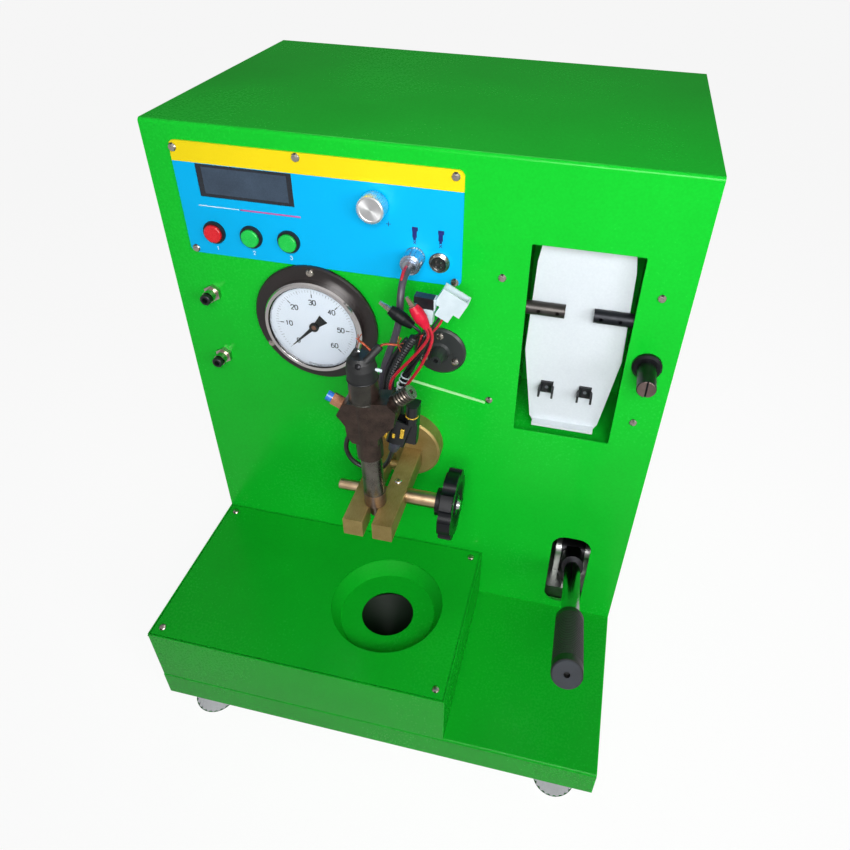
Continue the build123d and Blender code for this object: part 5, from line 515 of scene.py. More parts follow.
# Gloss black lacquer on steel: the gauge's flange
LACQUER = finish("gloss_black_lacquer", "#221B1A", "#171313", (0.28, 0.4), patch=50, grain=2.0, depth=0.006)
# Blackened steel: oiled, nearly black, soft gloss
BLACK_STEEL = finish("blackened_steel", "#2A2A2C", "#1B1B1D", (0.28, 0.42), patch=14, grain=0.7, depth=0.006,
                     metallic=0.85)
# Worn thread of the inlet stud: grey steel that shines on its ridges
THREAD_STEEL = finish("worn_thread_steel", "#6C645C", "#453F3A", (0.22, 0.36), patch=6, grain=0.6,
                      depth=0.004, metallic=0.95)
# Relief valve: blackened steel with a browned, rubbed end
VALVE = finish("browned_valve_steel", "#2C2E30", "#1E1F21", (0.28, 0.4), patch=14, grain=0.7, depth=0.006,
               metallic=0.85, zones=[(past((FRONT, VALVE_END)), "#7E6C68", "#675754", (0.35, 0.5), 0.85)])
# Stub shafts of black steel; the left one is painted paler grey, painted light on it
SHAFT = finish("shaft_steel", "#17191F", "#101218", (0.35, 0.5), patch=14, grain=0.7, depth=0.01,
               metallic=0.6, zones=[(past((LEFT, -WINDOW_X)), "#4A4745", "#383533", (0.3, 0.42), 0.8)])
# Gauge pointer: black with a small bright hub cap
POINTER = finish("pointer_black", "#14171A", "#0E1012", (0.4, 0.5), patch=14, grain=0.7, depth=0.002,
                 zones=[(around(GAUGE_X, GAUGE_Z, 2.6), "#A98878", "#8C6E60", (0.2, 0.3), 1.0)])
# Bright drawn steel: grey with fine lengthwise lines
BRIGHT_STEEL = finish("bright_drawn_steel", "#B4B6B8", "#989A9D", (0.12, 0.24), patch=22, grain=0.5,
                      depth=0.003, lay=(1, 0.2, 1), metallic=1.0)
# Injector: brown phosphate body, grey steel cap nut, rubbed pinkish ring, black plastic head,
# copper banjo hex with a blue collar, bright end of the inlet stud
INJECTOR = finish("phosphated_steel", "#4E3F38", "#2F2622", (0.3, 0.46), patch=11, grain=0.8, depth=0.009,
                  metallic=0.7,
                  zones=[(past((DOWN, -320.0)), "#7E7A72", "#5A564F", (0.22, 0.36), 0.95),
                         (past((DOWN, -272.6)), "#A28F84", "#796A60", (0.25, 0.4), 0.95),
                         (past((UP, 390.0), (LEFT, 8.0), (RIGHT, -34.0)), "#3E3C36", "#2A2824",
                          (0.3, 0.44), 0.5),
                         (past((UP, 414.0)), "#0F1112", "#090A0B", (0.5, 0.62), 0.0),
                         (past((RETURN_WAY, 203.4), (LEFT, 34.0)), "#D8A080", "#B67C5C", (0.18, 0.3), 0.9),
                         (past((RETURN_WAY, 213.9), (LEFT, 34.0)), "#2F74CC", "#245DB0", (0.22, 0.32), 0.0),
                         (past((STUD_WAY, 283.2), (RIGHT, 5.0)), "#55514A", "#35322E", (0.24, 0.36), 0.95),
                         (past((STUD_WAY, 300.5), (RIGHT, 5.0)), "#9C9A98", "#7A7876", (0.16, 0.26), 1.0)])
# Moulded acetal and natural nylon: clean plastics with a soft sheen, the small connector's cap dark
RED_PLASTIC = finish("red_acetal", "#D81C28", "#CC151E", (0.22, 0.32), patch=14, grain=0.8, depth=0.004)
GREEN_PLASTIC = finish("green_acetal", "#10C448", "#0EBA42", (0.22, 0.32), patch=14, grain=0.8, depth=0.004)
NYLON = finish("natural_nylon", "#C6D4DA", "#B8C7CE", (0.3, 0.42), patch=9, grain=0.5, depth=0.006,
               zones=[(past(SMALL_CAP, (LEFT, -35.0)), "#1A1C20", "#121418", (0.3, 0.42), 0.0)])
# White baked enamel on sheet: the tilting board
WHITE_ENAMEL = finish("white_baked_enamel", "#D0D7DC", "#C8CFD5", (0.16, 0.28), patch=70, grain=2.2,
                      depth=0.01)
# Matt enamel of the dial: cool white paper-like face
DIAL = finish("matt_dial_enamel", "#E6EFFA", "#DCE7F4", (0.5, 0.62), patch=30, grain=0.5, depth=0.003)
# Printing inks: flat and even, the dial's the dullest
DIAL_INK = finish("dial_ink", "#1E2A34", "#141E28", (0.45, 0.6), patch=8, grain=0.5, depth=0.001)
NAVY_INK, WHITE_INK, ROSE_INK = [
    finish(name, light, dark, (0.35, 0.5), patch=8, grain=0.5, depth=0.001)
    for name, light, dark in [("navy_ink", "#0A1C74", "#071660"), ("white_ink", "#DCEEF6", "#CCE2EE"),
                              ("rose_ink", "#C4559E", "#B24A8E")]]
# Shadowed bottom of a cross recess
RECESS = finish("recess_shadow", "#35302E", "#211E1D", (0.5, 0.7), patch=4, grain=0.4, depth=0.001)
# Glass fibre board with green solder resist
CIRCUIT = finish("solder_resist", "#12502C", "#0D4024", (0.3, 0.4), patch=14, grain=0.6, depth=0.01)
# The injector's connector: black nylon whose foot is a grey rubber boot
CONNECTOR = finish("connector_nylon_and_boot", "#141619", "#0E1012", (0.25, 0.4), patch=10, grain=0.5,
                   depth=0.008, zones=[(past((DOWN, -322.0), (LEFT, -9.0)), "#3D3F4A", "#2D2F38",
                                        (0.4, 0.55), 0.0)])
YELLOW_PLASTIC = finish("yellow_plastic", "#D8B434", "#B89024", (0.28, 0.4), patch=6, grain=0.5, depth=0.004)
# Enamel in the shade of the drain: nearly black green, dull
FUNNEL = finish("funnel_shade_green", "#041A08", "#031405", (0.5, 0.65), patch=20, grain=0.8, depth=0.006,
                sockets={"Specular IOR Level": 0.2})
# Blow-moulded polyethylene tank: milky and waxy
POLYETHYLENE = finish("natural_polyethylene", "#DAD9CC", "#CDCBBB", (0.35, 0.5), patch=40, grain=1.5,
                      depth=0.02)
GLASS = clear_glass()

NODE_FINISHES = {
    ENAMEL: ["front_and_top_sheet", "left_side_panel", "right_side_panel", "base_plate", "rear_cover",
             "window_recess"],
    # The box, tray and dish take the darker copy of the enamel: painted shade
    SHADED_ENAMEL: ["tray_pan", "collecting_box", "box_cover", "drip_dish"],
    PLATE: ["control_plate"],
    SCREEN: ["display_module"],
    ZINC: ["pump_body"],
    YELLOW_ZINC: ["clamp_boss", "fixed_jaw", "moving_jaw"],
    BRONZE: ["clamp_screw"],
    CHROME: ["levelling_feet"],
    SATIN_NICKEL: ["harness_plug", "plug_coupling_nut"],
    BEZEL: ["gauge_bezel"],
    NICKEL: ["panel_screws", "bulkhead_fittings"],
    SOCKET: ["socket_shells"],
    ALUMINIUM: ["pulse_knob"],
    BLACK_ABS: ["button_housings", "upper_release_collar", "lower_release_collar", "mains_inlet"],
    NOZZLE: ["outlet_nozzle"],
    FUNNEL: ["drain_funnel"],
    CLIP: ["tube_clips"],
    PHENOLIC: ["handwheel"],
    CONNECTOR: ["injector_connector"],
    CROCODILE: ["crocodile_clips"],
    RUBBER: ["lever_grip"],
    TIES: ["tied_bundle"],
    LACQUER: ["gauge_case"],
    BLACK_STEEL: ["lever_head"],
    VALVE: ["relief_valve_body", "relief_valve_spindle"],
    SHAFT: ["board_shafts"],
    POINTER: ["gauge_pointer"],
    BRIGHT_STEEL: ["lever_rod", "pump_plunger", "pressure_pipes"],
    INJECTOR: ["injector_body"],
    RED_PLASTIC: ["red_stop_button", "mains_rocker"],
    GREEN_PLASTIC: ["green_button_left", "green_button_right"],
    NYLON: ["white_connectors"],
    WHITE_ENAMEL: ["tube_board"],
    DIAL: ["gauge_dial"],
    GLASS: ["gauge_glass"],
    CIRCUIT: ["driver_board"],
    POLYETHYLENE: ["fuel_tank"],
}


def paint(obj, material):
    """Gives a whole object one material."""
    obj.data.materials.clear()
    obj.data.materials.append(material)


def fit(obj, material, body):
    """Gives a piece its material and the body that it rides."""
    paint(obj, material)
    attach(obj, body)


# Printed marks: the height of an ink over its surface is twice INK; the faces of dial and plate; the
# signs over the sockets with their middle, top and foot; the numbers under the buttons; the rule under
# the display and the plus and minus beside the knob, all in mm
INK = 0.05
DIAL_FRONT, PLATE_FRONT = -9.56, -2.02
SIGNS = [("socket_sign_left", 2.4, 515.0, 498.0), ("socket_sign_right", 27.2, 514.4, 497.6)]
BUTTONS_X, LABEL_Z, LABEL_HEIGHT, LABEL_LINE = (-202.2, -163.05, -123.9), 466.9, 3.6, 0.6
RULE_Z, RULE_WHITE, RULE_ROSE = 510.8, (-214, -172), (-170.5, -109)
PLUS_AND_MINUS = [(0.7, [(-24.7, 515), (-20.3, 515)]), (0.7, [(-22.5, 512.6), (-22.5, 517.4)]),
                  (1.0, [(-43.4, 515.2), (-39.2, 515.2)])]
DIAL_START, DIAL_STEP, DIAL_UNITS = 225, 4.5, 61
NUMBER_REACH, NUMBER_HEIGHT, NUMBER_LINE = 28.4, 5.2, 1.0
DIGITS = {
    "0": [[(0.3, 1), (0, 1.02), (0, -0.02), (0.6, -0.02), (0.6, 1.02), (0.3, 1)]],
    "1": [[(0.12, 0.8), (0.34, 1)], [(0.34, 1), (0.34, 0)]],
    "2": [[(0.02, 0.72), (0.05, 1.02), (0.6, 1.05), (0.62, 0.6), (0.28, 0.34), (0.02, 0)],
          [(0.02, 0), (0.6, 0)]],
    "3": [[(0.02, 0.9), (0.2, 1.04), (0.6, 1.02), (0.58, 0.54), (0.25, 0.54)],
          [(0.25, 0.54), (0.64, 0.54), (0.64, -0.03), (0.2, -0.04), (0, 0.14)]],
    "4": [[(0.45, 0), (0.45, 1)], [(0.45, 1), (0, 0.3)], [(0, 0.3), (0.62, 0.3)]],
    "5": [[(0.55, 1), (0.1, 1)], [(0.1, 1), (0.05, 0.54)],
          [(0.05, 0.5), (0.25, 0.68), (0.64, 0.64), (0.64, -0.02), (0.2, -0.05), (0, 0.12)]],
    "6": [[(0.52, 0.95), (0.12, 1), (-0.02, 0.3), (0.05, -0.02), (0.6, -0.04), (0.62, 0.58), (0.1, 0.62),
           (0.03, 0.35)]],
}


def strokes(name, runs, centre, across=RIGHT, up=UP):
    """Printed lines: round each run of (a, b) places in mm from the centre goes the flat section
    w / 2 cos t sideways and INK sin t outward; every run comes with its width w."""
    centre, across, up = at(*centre), np.array(across, float), np.array(up, float)
    out = np.cross(across, up)
    angle = np.arange(8) * 2 * math.pi / 8
    made = []
    for wide, run in runs:
        run = cut_corners(run, 2)
        way = np.gradient(run, axis=0)
        way /= np.linalg.norm(way, axis=1)[:, None]
        side = -way[:, 1, None] * across + way[:, 0, None] * up
        middle = run[:, 0, None] * across + run[:, 1, None] * up
        points = (middle[:, None] + np.cos(angle)[None, :, None] * side[:, None] * wide / 2
                  + np.sin(angle)[None, :, None] * out * INK)
        made.append(surface("run", centre + points * MM))
    return joined(name, made)


def written(text, x, z, height, wide):
    """The runs of a number whose middle is at x, z (mm), with its height and its line's width."""
    step = height * 0.82
    left = x - (step * (len(text) - 1) + height * 0.6) / 2
    return [(wide, [(left + i * step + a * height, z + (b - 0.5) * height) for a, b in run])
            for i, digit in enumerate(text) for run in DIGITS[digit]]


def dial_marks():
    """The dial's scale: ticks on rays at 225 degrees less 4.5 for each unit, and upright numbers."""
    runs = []
    for unit in range(DIAL_UNITS):
        turn = math.radians(DIAL_START - DIAL_STEP * unit)
        ray = (math.cos(turn), math.sin(turn))
        spans = [(0.24, 39.6, 42.0)] if unit % 10 else [(0.3, 38.4, 42.4), (0.95, 33.9, 38.0)]
        if unit % 10 == 5:
            spans = [(0.34, 38.6, 42.2)]
        runs += [(wide, [(ray[0] * low, ray[1] * low), (ray[0] * high, ray[1] * high)])
                 for wide, low, high in spans]
        if unit % 10 == 0:
            runs += written(str(unit), ray[0] * NUMBER_REACH, ray[1] * NUMBER_REACH, NUMBER_HEIGHT,
                            NUMBER_LINE)
    return strokes("dial_marks", runs, (GAUGE_X, DIAL_FRONT, GAUGE_Z))


def nozzle_sign(name, x, top, foot):
    """A plain navy sign: a wide block, a narrower stem and a small foot, each a broad printed run."""
    reach = top - foot
    runs = [(4.0, [(x - 2.4, top - 2.0), (x + 3.2, top - 2.0)]),
            (4.2, [(x, top - 3.0), (x, top - 0.62 * reach)]),
            (2.6, [(x, top - 0.6 * reach), (x, top - 0.78 * reach)]),
            (0.7, [(x - 1.4, foot), (x + 1.4, foot + 3.2)]), (0.7, [(x + 1.4, foot), (x - 1.4, foot + 3.2)])]
    return strokes(name, runs, (0, PLATE_FRONT, 0))


def plate_marks():
    """The control plate's printing, generic where the photograph's words stood: signs, rule, numbers."""
    numbers = [run for i, x in enumerate(BUTTONS_X)
               for run in written(str(i + 1), x, LABEL_Z, LABEL_HEIGHT, LABEL_LINE)]
    plain = [("plus_and_minus", PLUS_AND_MINUS, NAVY_INK),
             ("rule_white", [(0.9, [(x, RULE_Z) for x in RULE_WHITE])], WHITE_INK),
             ("rule_rose", [(1.6, [(x, RULE_Z) for x in RULE_ROSE])], ROSE_INK),
             ("button_numbers", numbers, WHITE_INK)]
    signs = [(nozzle_sign(*sign), NAVY_INK) for sign in SIGNS]
    return signs + [(strokes(name, runs, (0, PLATE_FRONT, 0)), ink) for name, runs, ink in plain]


# Screw heads: their crosses' half length and width, and the depth past which a screw is a rear one
CROSS_ARM, CROSS_WIDE, REAR_SCREWS = 1.75, 0.62, 300.0
JAW_SCREW, JAW_SCREW_RADIUS, JAW_SCREW_RISE, JAW_CROSS_TOP = (1.16, -72.5, 256.0), 4.08, 2.55, 258.57


def islands(mesh):
    """The separate shells of a mesh, as boxes: every edge spreads its lower label until none changes."""
    points, edges = mesh_points(mesh), np.empty(len(mesh.edges) * 2, int)
    mesh.edges.foreach_get("vertices", edges)
    first, last = edges.reshape(-1, 2).T
    label = np.arange(len(points))
    while True:
        low = np.minimum(label[first], label[last])
        spread = label.copy()
        np.minimum.at(spread, first, low)
        np.minimum.at(spread, last, low)
        spread = spread[spread]
        if (spread == label).all():
            break
        label = spread
    return [(points[label == key].min(0), points[label == key].max(0)) for key in np.unique(label)]


def screw_crosses():
    """A cross on every panel screw's head: two flat runs across it at an angle of its own."""
    made = []
    for low, high in islands(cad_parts["panel_screws"].data):
        low, high = [(p - at(0, 0, 0)) / MM for p in (low, high)]
        middle, extent = (low + high) / 2, high - low
        if high[1] > REAR_SCREWS:
            centre, across, up = (middle[0], high[1], middle[2]), LEFT, UP
        elif extent[2] > extent[1]:
            centre, across, up = (middle[0], middle[1], high[2]), RIGHT, BACK
        else:
            centre, across, up = (middle[0], low[1], middle[2]), RIGHT, UP
        turn = 0.4 + 1.7 * math.sin(12.9 * middle[0] + 7.3 * middle[2])
        made.append(cross("cross", centre, across, up, turn))
    return joined("screw_crosses", made)


def cross(name, centre, across, up, turn, arm=CROSS_ARM, wide=CROSS_WIDE):
    """A cross recess as two flat dark runs at right angles, turned by an angle (radians)."""
    ends = [(math.cos(way) * arm, math.sin(way) * arm) for way in (turn, turn + math.pi / 2)]
    return strokes(name, [(wide, [(-a, -b), (a, b)]) for a, b in ends], centre, across, up)


# Harness: the loom's ribs, its step and top; the strand's wires and top; the ties; places in mm
LOOM_PITCH, LOOM_RIB, LOOM_STEP, LOOM_TOP = 3.2, 1.0, 0.22, 437.5
STRAND_REACH, STRAND_WIRE, STRAND_STEP, STRAND_TOP = 2.7, 2.5, 0.8, 436.0
BUNDLE_TOP = 366.0
SLEEVE_PATH = [(-13.2, -61, 367), (-11.6, -61, 385), (-6.2, -61, 402), (1.6, -61.2, 418), (10.8, -61.6, 432)]
SLEEVE_RADIUS = 2.7
TIE_BANDS = [("tie_band_high", (8.1, -59.9, 388.4)), ("tie_band_low", (6.1, -59.9, 383))]
TIE_WAY, TIE_RADIUS, TIE_HALF_WIDE, TIE_HALF_THICK = (0.35, 0, 0.94), 4.6, 1.0, 0.45
PLUG_WIRE, PLUG_WIRE_RADIUS = [(1.8, -29, 488.4), (1.8, -36, 489), (2, -42.5, 487.4), (2.3, -47, 483)], 1.5
RIGHT_TRUNK = [(-2.2, -101.8, 447.8), (0.4, -101.4, 450), (5, -101, 451.2), (9.9, -101, 451.4),
               (13.5, -101, 451.3)]
RIGHT_HAIRS = [(16.8, -100, 458.7), (14.9, -101, 460.2), (18.8, -101, 454.2), (17.6, -102, 450.1),
               (16.1, -101, 444.9)]
LEFT_TRUNK = [(-8.6, -104.8, 442.6), (-12.5, -103.5, 445.6), (-17.5, -102, 448.6), (-22, -101, 450.6)]
LEFT_HAIRS = [(-19, -100, 456.5), (-22.2, -100, 455.7), (-24.2, -101, 452.4)]
LEFT_TAIL, TAIL_RADIUS = [(-21, -101, 450.8), (-22.6, -101.5, 447), (-24.4, -102, 438.6)], 0.45
HAIR_STEP, HAIR_RADIUS, HAIR_TURN = 0.4, 0.42, 0.7


def part_of(line, low, high):
    """The stretch of a line between two heights over the tray (mm)."""
    height = (line[:, 2] - TRAY_Z) / MM
    return line[(height >= low) & (height <= high)]


def corrugated_loom():
    """Split loom over the black wire: r(s) = R + a tanh(3 cos(2 pi s / pitch)), a flat-topped rib."""
    line = resample(part_of(lines["black_clip_wire"], BUNDLE_TOP, LOOM_TOP), LOOM_STEP * MM)
    ribs = np.arange(len(line)) * LOOM_STEP / LOOM_PITCH
    wave = LOOM_RIB / 2 * MM * np.tanh(3 * np.cos(2 * math.pi * ribs))
    return tube("corrugated_loom", line, (LOOM / 2 - LOOM_RIB / 2) * MM, 28, wave)


def strand_wires():
    """The wires of the right strand, laid round its own line as helices: p(s) = c(s) + r (cos a, sin a)."""
    line = resample(part_of(lines["right_strand_wire"], BUNDLE_TOP, STRAND_TOP), STRAND_STEP * MM)
    made = []
    for i, coat in enumerate((VINYL, RED_VINYL, VINYL, VINYL, VINYL)):
        path = round_about(line, STRAND_REACH, 0.6, i / 5 + 0.5)
        if i < 2:
            lead_in = smooth_line(CONNECTOR_WIRES[i])
            down = path[::-1] if path[0, 2] < path[-1, 2] else path
            path = np.concatenate([lead_in[:-4], down])
        made.append(tube("strand_wire_%d" % (i + 1), resample(path, STRAND_STEP * MM), STRAND_WIRE / 2 * MM))
        paint(made[-1], coat)
    return made


def band(name, centre, normal, radius, half_wide, half_thick):
    """A tie's band: p(a, t) = c + (R + thick cos t) e(a) - wide sin t n, a flattened torus."""
    way, side, across = axes_along(normal)
    a, t = np.arange(64) * 2 * math.pi / 64, np.arange(12) * 2 * math.pi / 12
    ring = np.cos(a)[:, None] * side + np.sin(a)[:, None] * across
    points = ((radius + half_thick * np.cos(t))[None, :, None] * ring[:, None]
              - (half_wide * np.sin(t))[None, :, None] * way)
    return surface(name, at(*centre) + points * MM, wrap_rows=True)


def copper_strands(name, trunk, ends, spread):
    """Bare stranded copper: six helices round a trunk, which part into single hairs that sag by
    spread sin(3 t) towards their ends."""
    line = smooth_line(trunk, HAIR_STEP)
    hairs = [round_about(line, HAIR_TURN, 2.5, k / 6) for k in range(6)] + [line]
    made = []
    for k, (hair, end) in enumerate(zip(hairs, ends * 4)):
        last = np.array(trunk[-1], float)
        tail = last + (np.array(end, float) - last) * np.linspace(0, 1, 12)[:, None]
        tail[:, 2] += spread * np.sin(np.linspace(0, 3, 12)) + 0.25 * math.sin(2.1 * k)
        path = np.concatenate([hair[:-2], np.array([at(*p) for p in tail[1:]])])
        made.append(tube("%s_%d" % (name, k + 1), resample(path, HAIR_STEP * MM), HAIR_RADIUS * MM, 7))
    return joined(name, made)


# Injector
INJECTOR_Y, LEAN_FOOT, LEAN = -106.0, (-13.1, 248.0), math.radians(1.9)
STUD_START, STUD_RADIUS = (10.85, INJECTOR_Y, 391.84), 7.0
THREAD_FROM, THREAD_TO, THREAD_PITCH, THREAD_DEPTH = 5.0, 20.6, 3.4, 0.95


def on_axis(height):
    """The place (mm) on the injector's leaning axis at an upright height."""
    rise = height - LEAN_FOOT[1]
    return (LEAN_FOOT[0] - rise * math.sin(LEAN), INJECTOR_Y, LEAN_FOOT[1] + rise * math.cos(LEAN))


def stud_thread():
    """The inlet's thread: r(h, a) = R + depth (1 + tri(h / pitch - a / 2 pi)) / 2, a helical ridge."""
    way, side, across = axes_along(STUD_WAY)
    angle = np.arange(48) * 2 * math.pi / 48
    height = np.arange(THREAD_FROM, THREAD_TO, 0.2)
    turn = height[:, None] / THREAD_PITCH - angle[None] / (2 * math.pi)
    ridge = 1 - 2 * np.abs(turn % 1 - 0.5) * 2
    reach = (STUD_RADIUS - 0.2 + THREAD_DEPTH * (0.5 + 0.5 * ridge)) * MM
    reach[[0, -1]] = (STUD_RADIUS - 0.3) * MM
    circle = np.cos(angle)[:, None] * side + np.sin(angle)[:, None] * across
    middle = at(*STUD_START) + height[:, None] * MM * way
    return surface("inlet_thread", middle[:, None] + reach[:, :, None] * circle[None])


def bead(name, height, radius, width, rise):
    """A raised bead round the head: r(t) = R + rise sin^0.7(pi t) over its width."""
    t = np.linspace(0, 1, 13)
    crown = [(radius + rise * math.sin(math.pi * s) ** 0.7, width * s) for s in t[1:-1]]
    profile = [(radius - 0.4, 0)] + crown + [(radius - 0.4, width)]
    return turned(name, at(*on_axis(height)), (-math.sin(LEAN), 0, math.cos(LEAN)), profile, 64)


def dome(name, place, way, radius, rise):
    """A low domed head: r = R cos(t) and h = 0.3 rise + 0.7 rise sin(t) over a short straight side."""
    t = np.linspace(0, 1.45, 9)
    profile = [(radius, -0.6)] + [(radius * math.cos(s), rise * (0.3 + 0.7 * math.sin(s))) for s in t]
    return turned(name, at(*place), way, profile, 32)


make_camera()

# Cords first, with the pieces that go with them
cords = {
    "main_cable": (MAIN_LEAD, LEAD, CABLE, "main_lead", "knot"),
    "black_clip_wire": (BLACK_WIRE + BLACK_LOOM, WIRE, VINYL, "harness_leads", "knot"),
    "red_wire": (RED_WIRE, WIRE, RED_VINYL, "harness_leads", "knot"),
    "red_return_wire": (RED_RETURN, WIRE, RED_VINYL, "harness_leads", "knot"),
    "right_strand_wire": (SMALL_WIRE + RIGHT_STRAND, THIN_WIRE, VINYL, "harness_leads", "knot"),
    "injector_lead": (SENSOR_PATH, SENSOR_LEAD, VINYL, "connector_lead", "connector"),
}
cables = {name: spline(name, route, diameter) for name, (route, diameter, *_) in cords.items()}
lines = {name: centreline(cable) for name, cable in cables.items()}
loom = corrugated_loom()
fit(loom, VINYL, "cabinet")
strands = strand_wires()
for wire in strands:
    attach(wire, "cabinet")
sleeve = tube("tape_sleeve", smooth_line(SLEEVE_PATH), SLEEVE_RADIUS * MM, 20)
fit(sleeve, VINYL, "cabinet")
for name, middle in TIE_BANDS:
    fit(band(name, middle, TIE_WAY, TIE_RADIUS, TIE_HALF_WIDE, TIE_HALF_THICK), NYLON, "cabinet")
for name, (route, diameter, coat, node, end) in cords.items():
    cable = cables[name]
    fit(cable, coat, "cabinet")
    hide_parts(node)

for material, nodes in NODE_FINISHES.items():
    for node in nodes:
        paint(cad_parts[node], material)

fit(dial_marks(), DIAL_INK, "cabinet")
for piece, ink in plate_marks():
    fit(piece, ink, "cabinet")
fit(screw_crosses(), RECESS, "cabinet")
fit(dome("jaw_screw_head", JAW_SCREW, UP, JAW_SCREW_RADIUS, JAW_SCREW_RISE), CHROME, "jaw")
fit(cross("jaw_screw_cross", (*JAW_SCREW[:2], JAW_CROSS_TOP), RIGHT, BACK, 0.5, 2.2, 0.8), RECESS, "jaw")
fit(tube("plug_red_wire", smooth_line(PLUG_WIRE), PLUG_WIRE_RADIUS * MM, 14), RED_VINYL, "cabinet")
fit(copper_strands("right_copper", RIGHT_TRUNK, RIGHT_HAIRS, 0.5), COPPER, "injector")
fit(copper_strands("left_copper", LEFT_TRUNK, LEFT_HAIRS, 0.4), COPPER, "injector")
fit(tube("left_copper_tail", smooth_line(LEFT_TAIL), TAIL_RADIUS * MM, 8), COPPER, "injector")

# Thread, beads, screw, pin, peg and lug tip of the injector's head
SCREW_WAY = (0, -0.8, 0.6)
injector_pieces = [
    (stud_thread(), THREAD_STEEL),
    (bead("head_bead_low", 390.4, 14.0, 1.8, 0.7), INJECTOR),
    (bead("head_bead_high", 413.6, 14.0, 1.8, 0.8), BLACK_ABS),
    (dome("head_screw", (-18.1, -116.6, 433.6), SCREW_WAY, 3.2, 2.0), BLACK_STEEL),
    (dome("head_pin", (-16.6, -117.2, 427.2), SCREW_WAY, 1.1, 1.2), CHROME),
    (superbar("pale_peg", (-7.4, -107.5, 426.8), (0.4, -106.4, 425.1), 1.5, 1.5, BACK, power=2.4), NYLON),
    (superbar("lug_tip", (-19.4, -106.6, 441.5), (-21.4, -106, 443.8), 1.4, 1.4, BACK, power=2.4), CHROME),
]
for piece, coat in injector_pieces:
    fit(piece, coat, "injector")

# Tabs and seal of the connector behind the injector
SEAL_PLACE, SEAL_WAY = (19.7, -81, 357.4), (0.06, 0, 1)
SEAL_PROFILE = [(5.8, 0), (6.35, 0.2), (6.5, 0.7), (6.35, 1.2), (5.8, 1.4)]
connector_pieces = [
    superbar("connector_tab_left", (-6.2, -87.9, 329.2), (-4.8, -87.9, 336.2), 1.2, 0.9, BACK),
    superbar("connector_tab_middle", (2.2, -87.9, 331.4), (2.8, -87.9, 336.6), 1.4, 0.9, BACK),
    superbar("connector_tab_right", (10.6, -87.9, 332.5), (12.2, -87.9, 344.1), 1.9, 0.9, BACK),
    turned("connector_seal", at(*SEAL_PLACE), SEAL_WAY, SEAL_PROFILE),
]
for piece in connector_pieces:
    fit(piece, YELLOW_PLASTIC, "cabinet")


# Floor and light: the floor's half size (m) and its shares of white; the strength of the surroundings
# for plain light, behind and in front; how much of both a gloss shows; boxes of light in m and watts
FLOOR_HALF, FLOOR_GLOW, FLOOR_SEEN, FLOOR_GIVEN = 14.0, 0.9, 0.13, 0.78
WORLD_FILL, WORLD_BACK, WORLD_FRONT, GLOSS_SHARE = 0.1, 0.1, 1.0, 0.6
WORLD_AHEAD = (0.15, -0.75, 0.64)
LIGHTS = [("key_box", (0.3, -1.0, 1.1), (0.1, 0, 0.62), 0.6, 4.6, 92),
          ("right_box", (1.45, -1.2, 1.1), (0, 0, 0.42), 0.7, 13, 180),
          ("front_box", (-0.2, -3.2, 1.3), (0, 0, 0.45), 2.0, 5, 180),
          ("top_box", (-0.2, 0.7, 1.6), (0, 0.1, 0.66), 0.8, 2.5, 180)]


def seen_rays(tree, gloss_share):
    """One where a ray comes straight or through glass from the camera, a share by a gloss, else nought."""
    ray = add(tree, "LightPath").outputs
    gloss = add(tree, "Math", {1: gloss_share}, {0: ray["Is Glossy Ray"]}, operation="MULTIPLY").outputs[0]
    some = add(tree, "Math", links={0: ray["Is Camera Ray"], 1: gloss}, operation="MAXIMUM")
    return add(tree, "Math", links={0: some.outputs[0], 1: ray["Is Transmission Ray"]},
               operation="MAXIMUM").outputs[0]


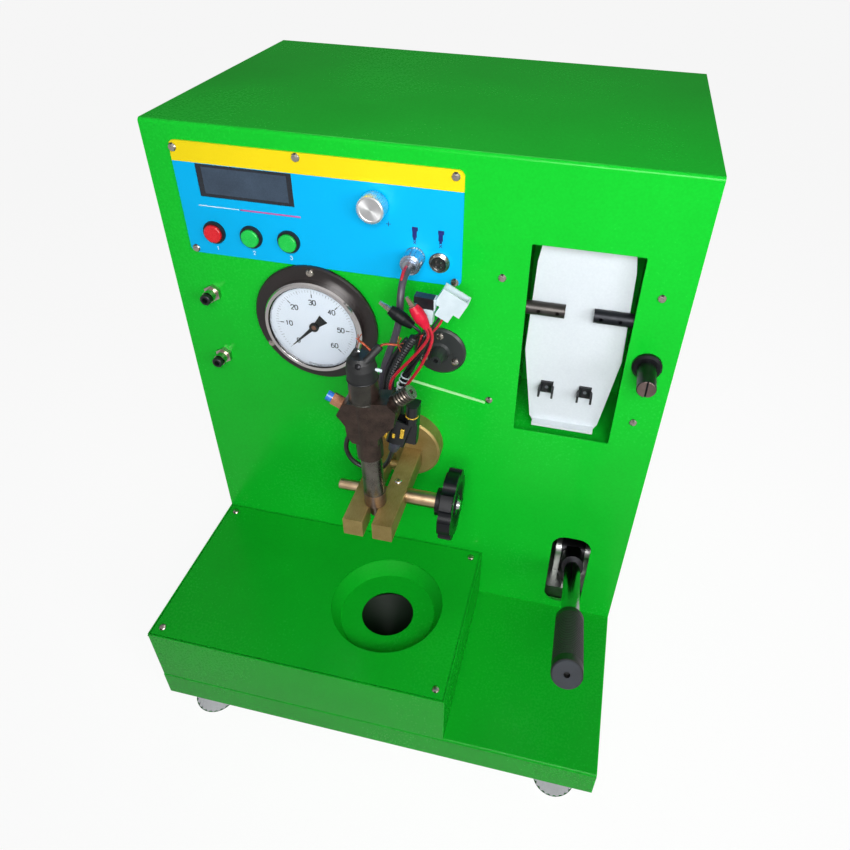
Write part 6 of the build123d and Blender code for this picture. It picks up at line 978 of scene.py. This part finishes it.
def make_floor():
    """A wide white floor under the feet: its own glow is only seen, its light is that of pale paint."""
    size = FLOOR_HALF
    corners = np.array([[-size, -size, 0], [size, -size, 0], [size, size, 0], [-size, size, 0]])
    floor = new_object("studio_floor", corners, [[0, 1, 2, 3]], smooth=False)
    material, tree, shader = blank("studio_floor_paint")
    tone = add(tree, "MapRange", {"To Min": FLOOR_GIVEN, "To Max": FLOOR_SEEN},
               {"Value": seen_rays(tree, 1.0)})
    glow = add(tree, "MapRange", {"To Min": 0.0, "To Max": FLOOR_GLOW},
               {"Value": seen_rays(tree, GLOSS_SHARE)})
    tree.links.new(tone.outputs["Result"], shader.inputs["Base Color"])
    tree.links.new(glow.outputs["Result"], shader.inputs["Emission Strength"])
    shader.inputs["Emission Color"].default_value = (1, 1, 1, 1)
    shader.inputs["Roughness"].default_value = 0.9
    shader.inputs["Specular IOR Level"].default_value = 0.1
    paint(floor, material)


def make_light(name, place, aim, size, power, spread):
    """A square soft box at a place (m), turned to its aim, whose beam has a spread (degrees)."""
    data = bpy.data.lights.new(name, "AREA")
    data.size, data.energy, data.spread = size, power, math.radians(spread)
    lamp = bpy.data.objects.new(name, data)
    way = Vector(aim) - Vector(place)
    lamp.matrix_world = Matrix.Translation(place) @ way.to_track_quat("-Z", "Y").to_matrix().to_4x4()
    bpy.context.scene.collection.objects.link(lamp)


def make_world():
    """Even weak surroundings; what gloss shows of them is white in front and dark behind."""
    world = bpy.data.worlds.new("studio")
    bpy.context.scene.world = world
    world.use_nodes = True
    tree = world.node_tree
    tree.nodes.clear()
    way = add(tree, "TexCoord").outputs["Generated"]
    ahead = add(tree, "VectorMath", {1: WORLD_AHEAD}, {0: way}, operation="DOT_PRODUCT").outputs["Value"]
    shown = add(tree, "MapRange", {"From Min": -0.4, "From Max": 0.9, "To Min": WORLD_BACK,
                                   "To Max": WORLD_FRONT}, {"Value": ahead})
    strength = add(tree, "Mix", {"A": WORLD_FILL},
                   {"Factor": seen_rays(tree, 1.0), "B": shown.outputs["Result"]})
    light = add(tree, "Background", links={"Strength": strength.outputs["Result"]})
    add(tree, "OutputWorld", links={"Surface": light.outputs["Background"]})


make_floor()
make_world()
for light in LIGHTS:
    make_light(*light)
bpy.context.scene.view_settings.view_transform = "Standard"
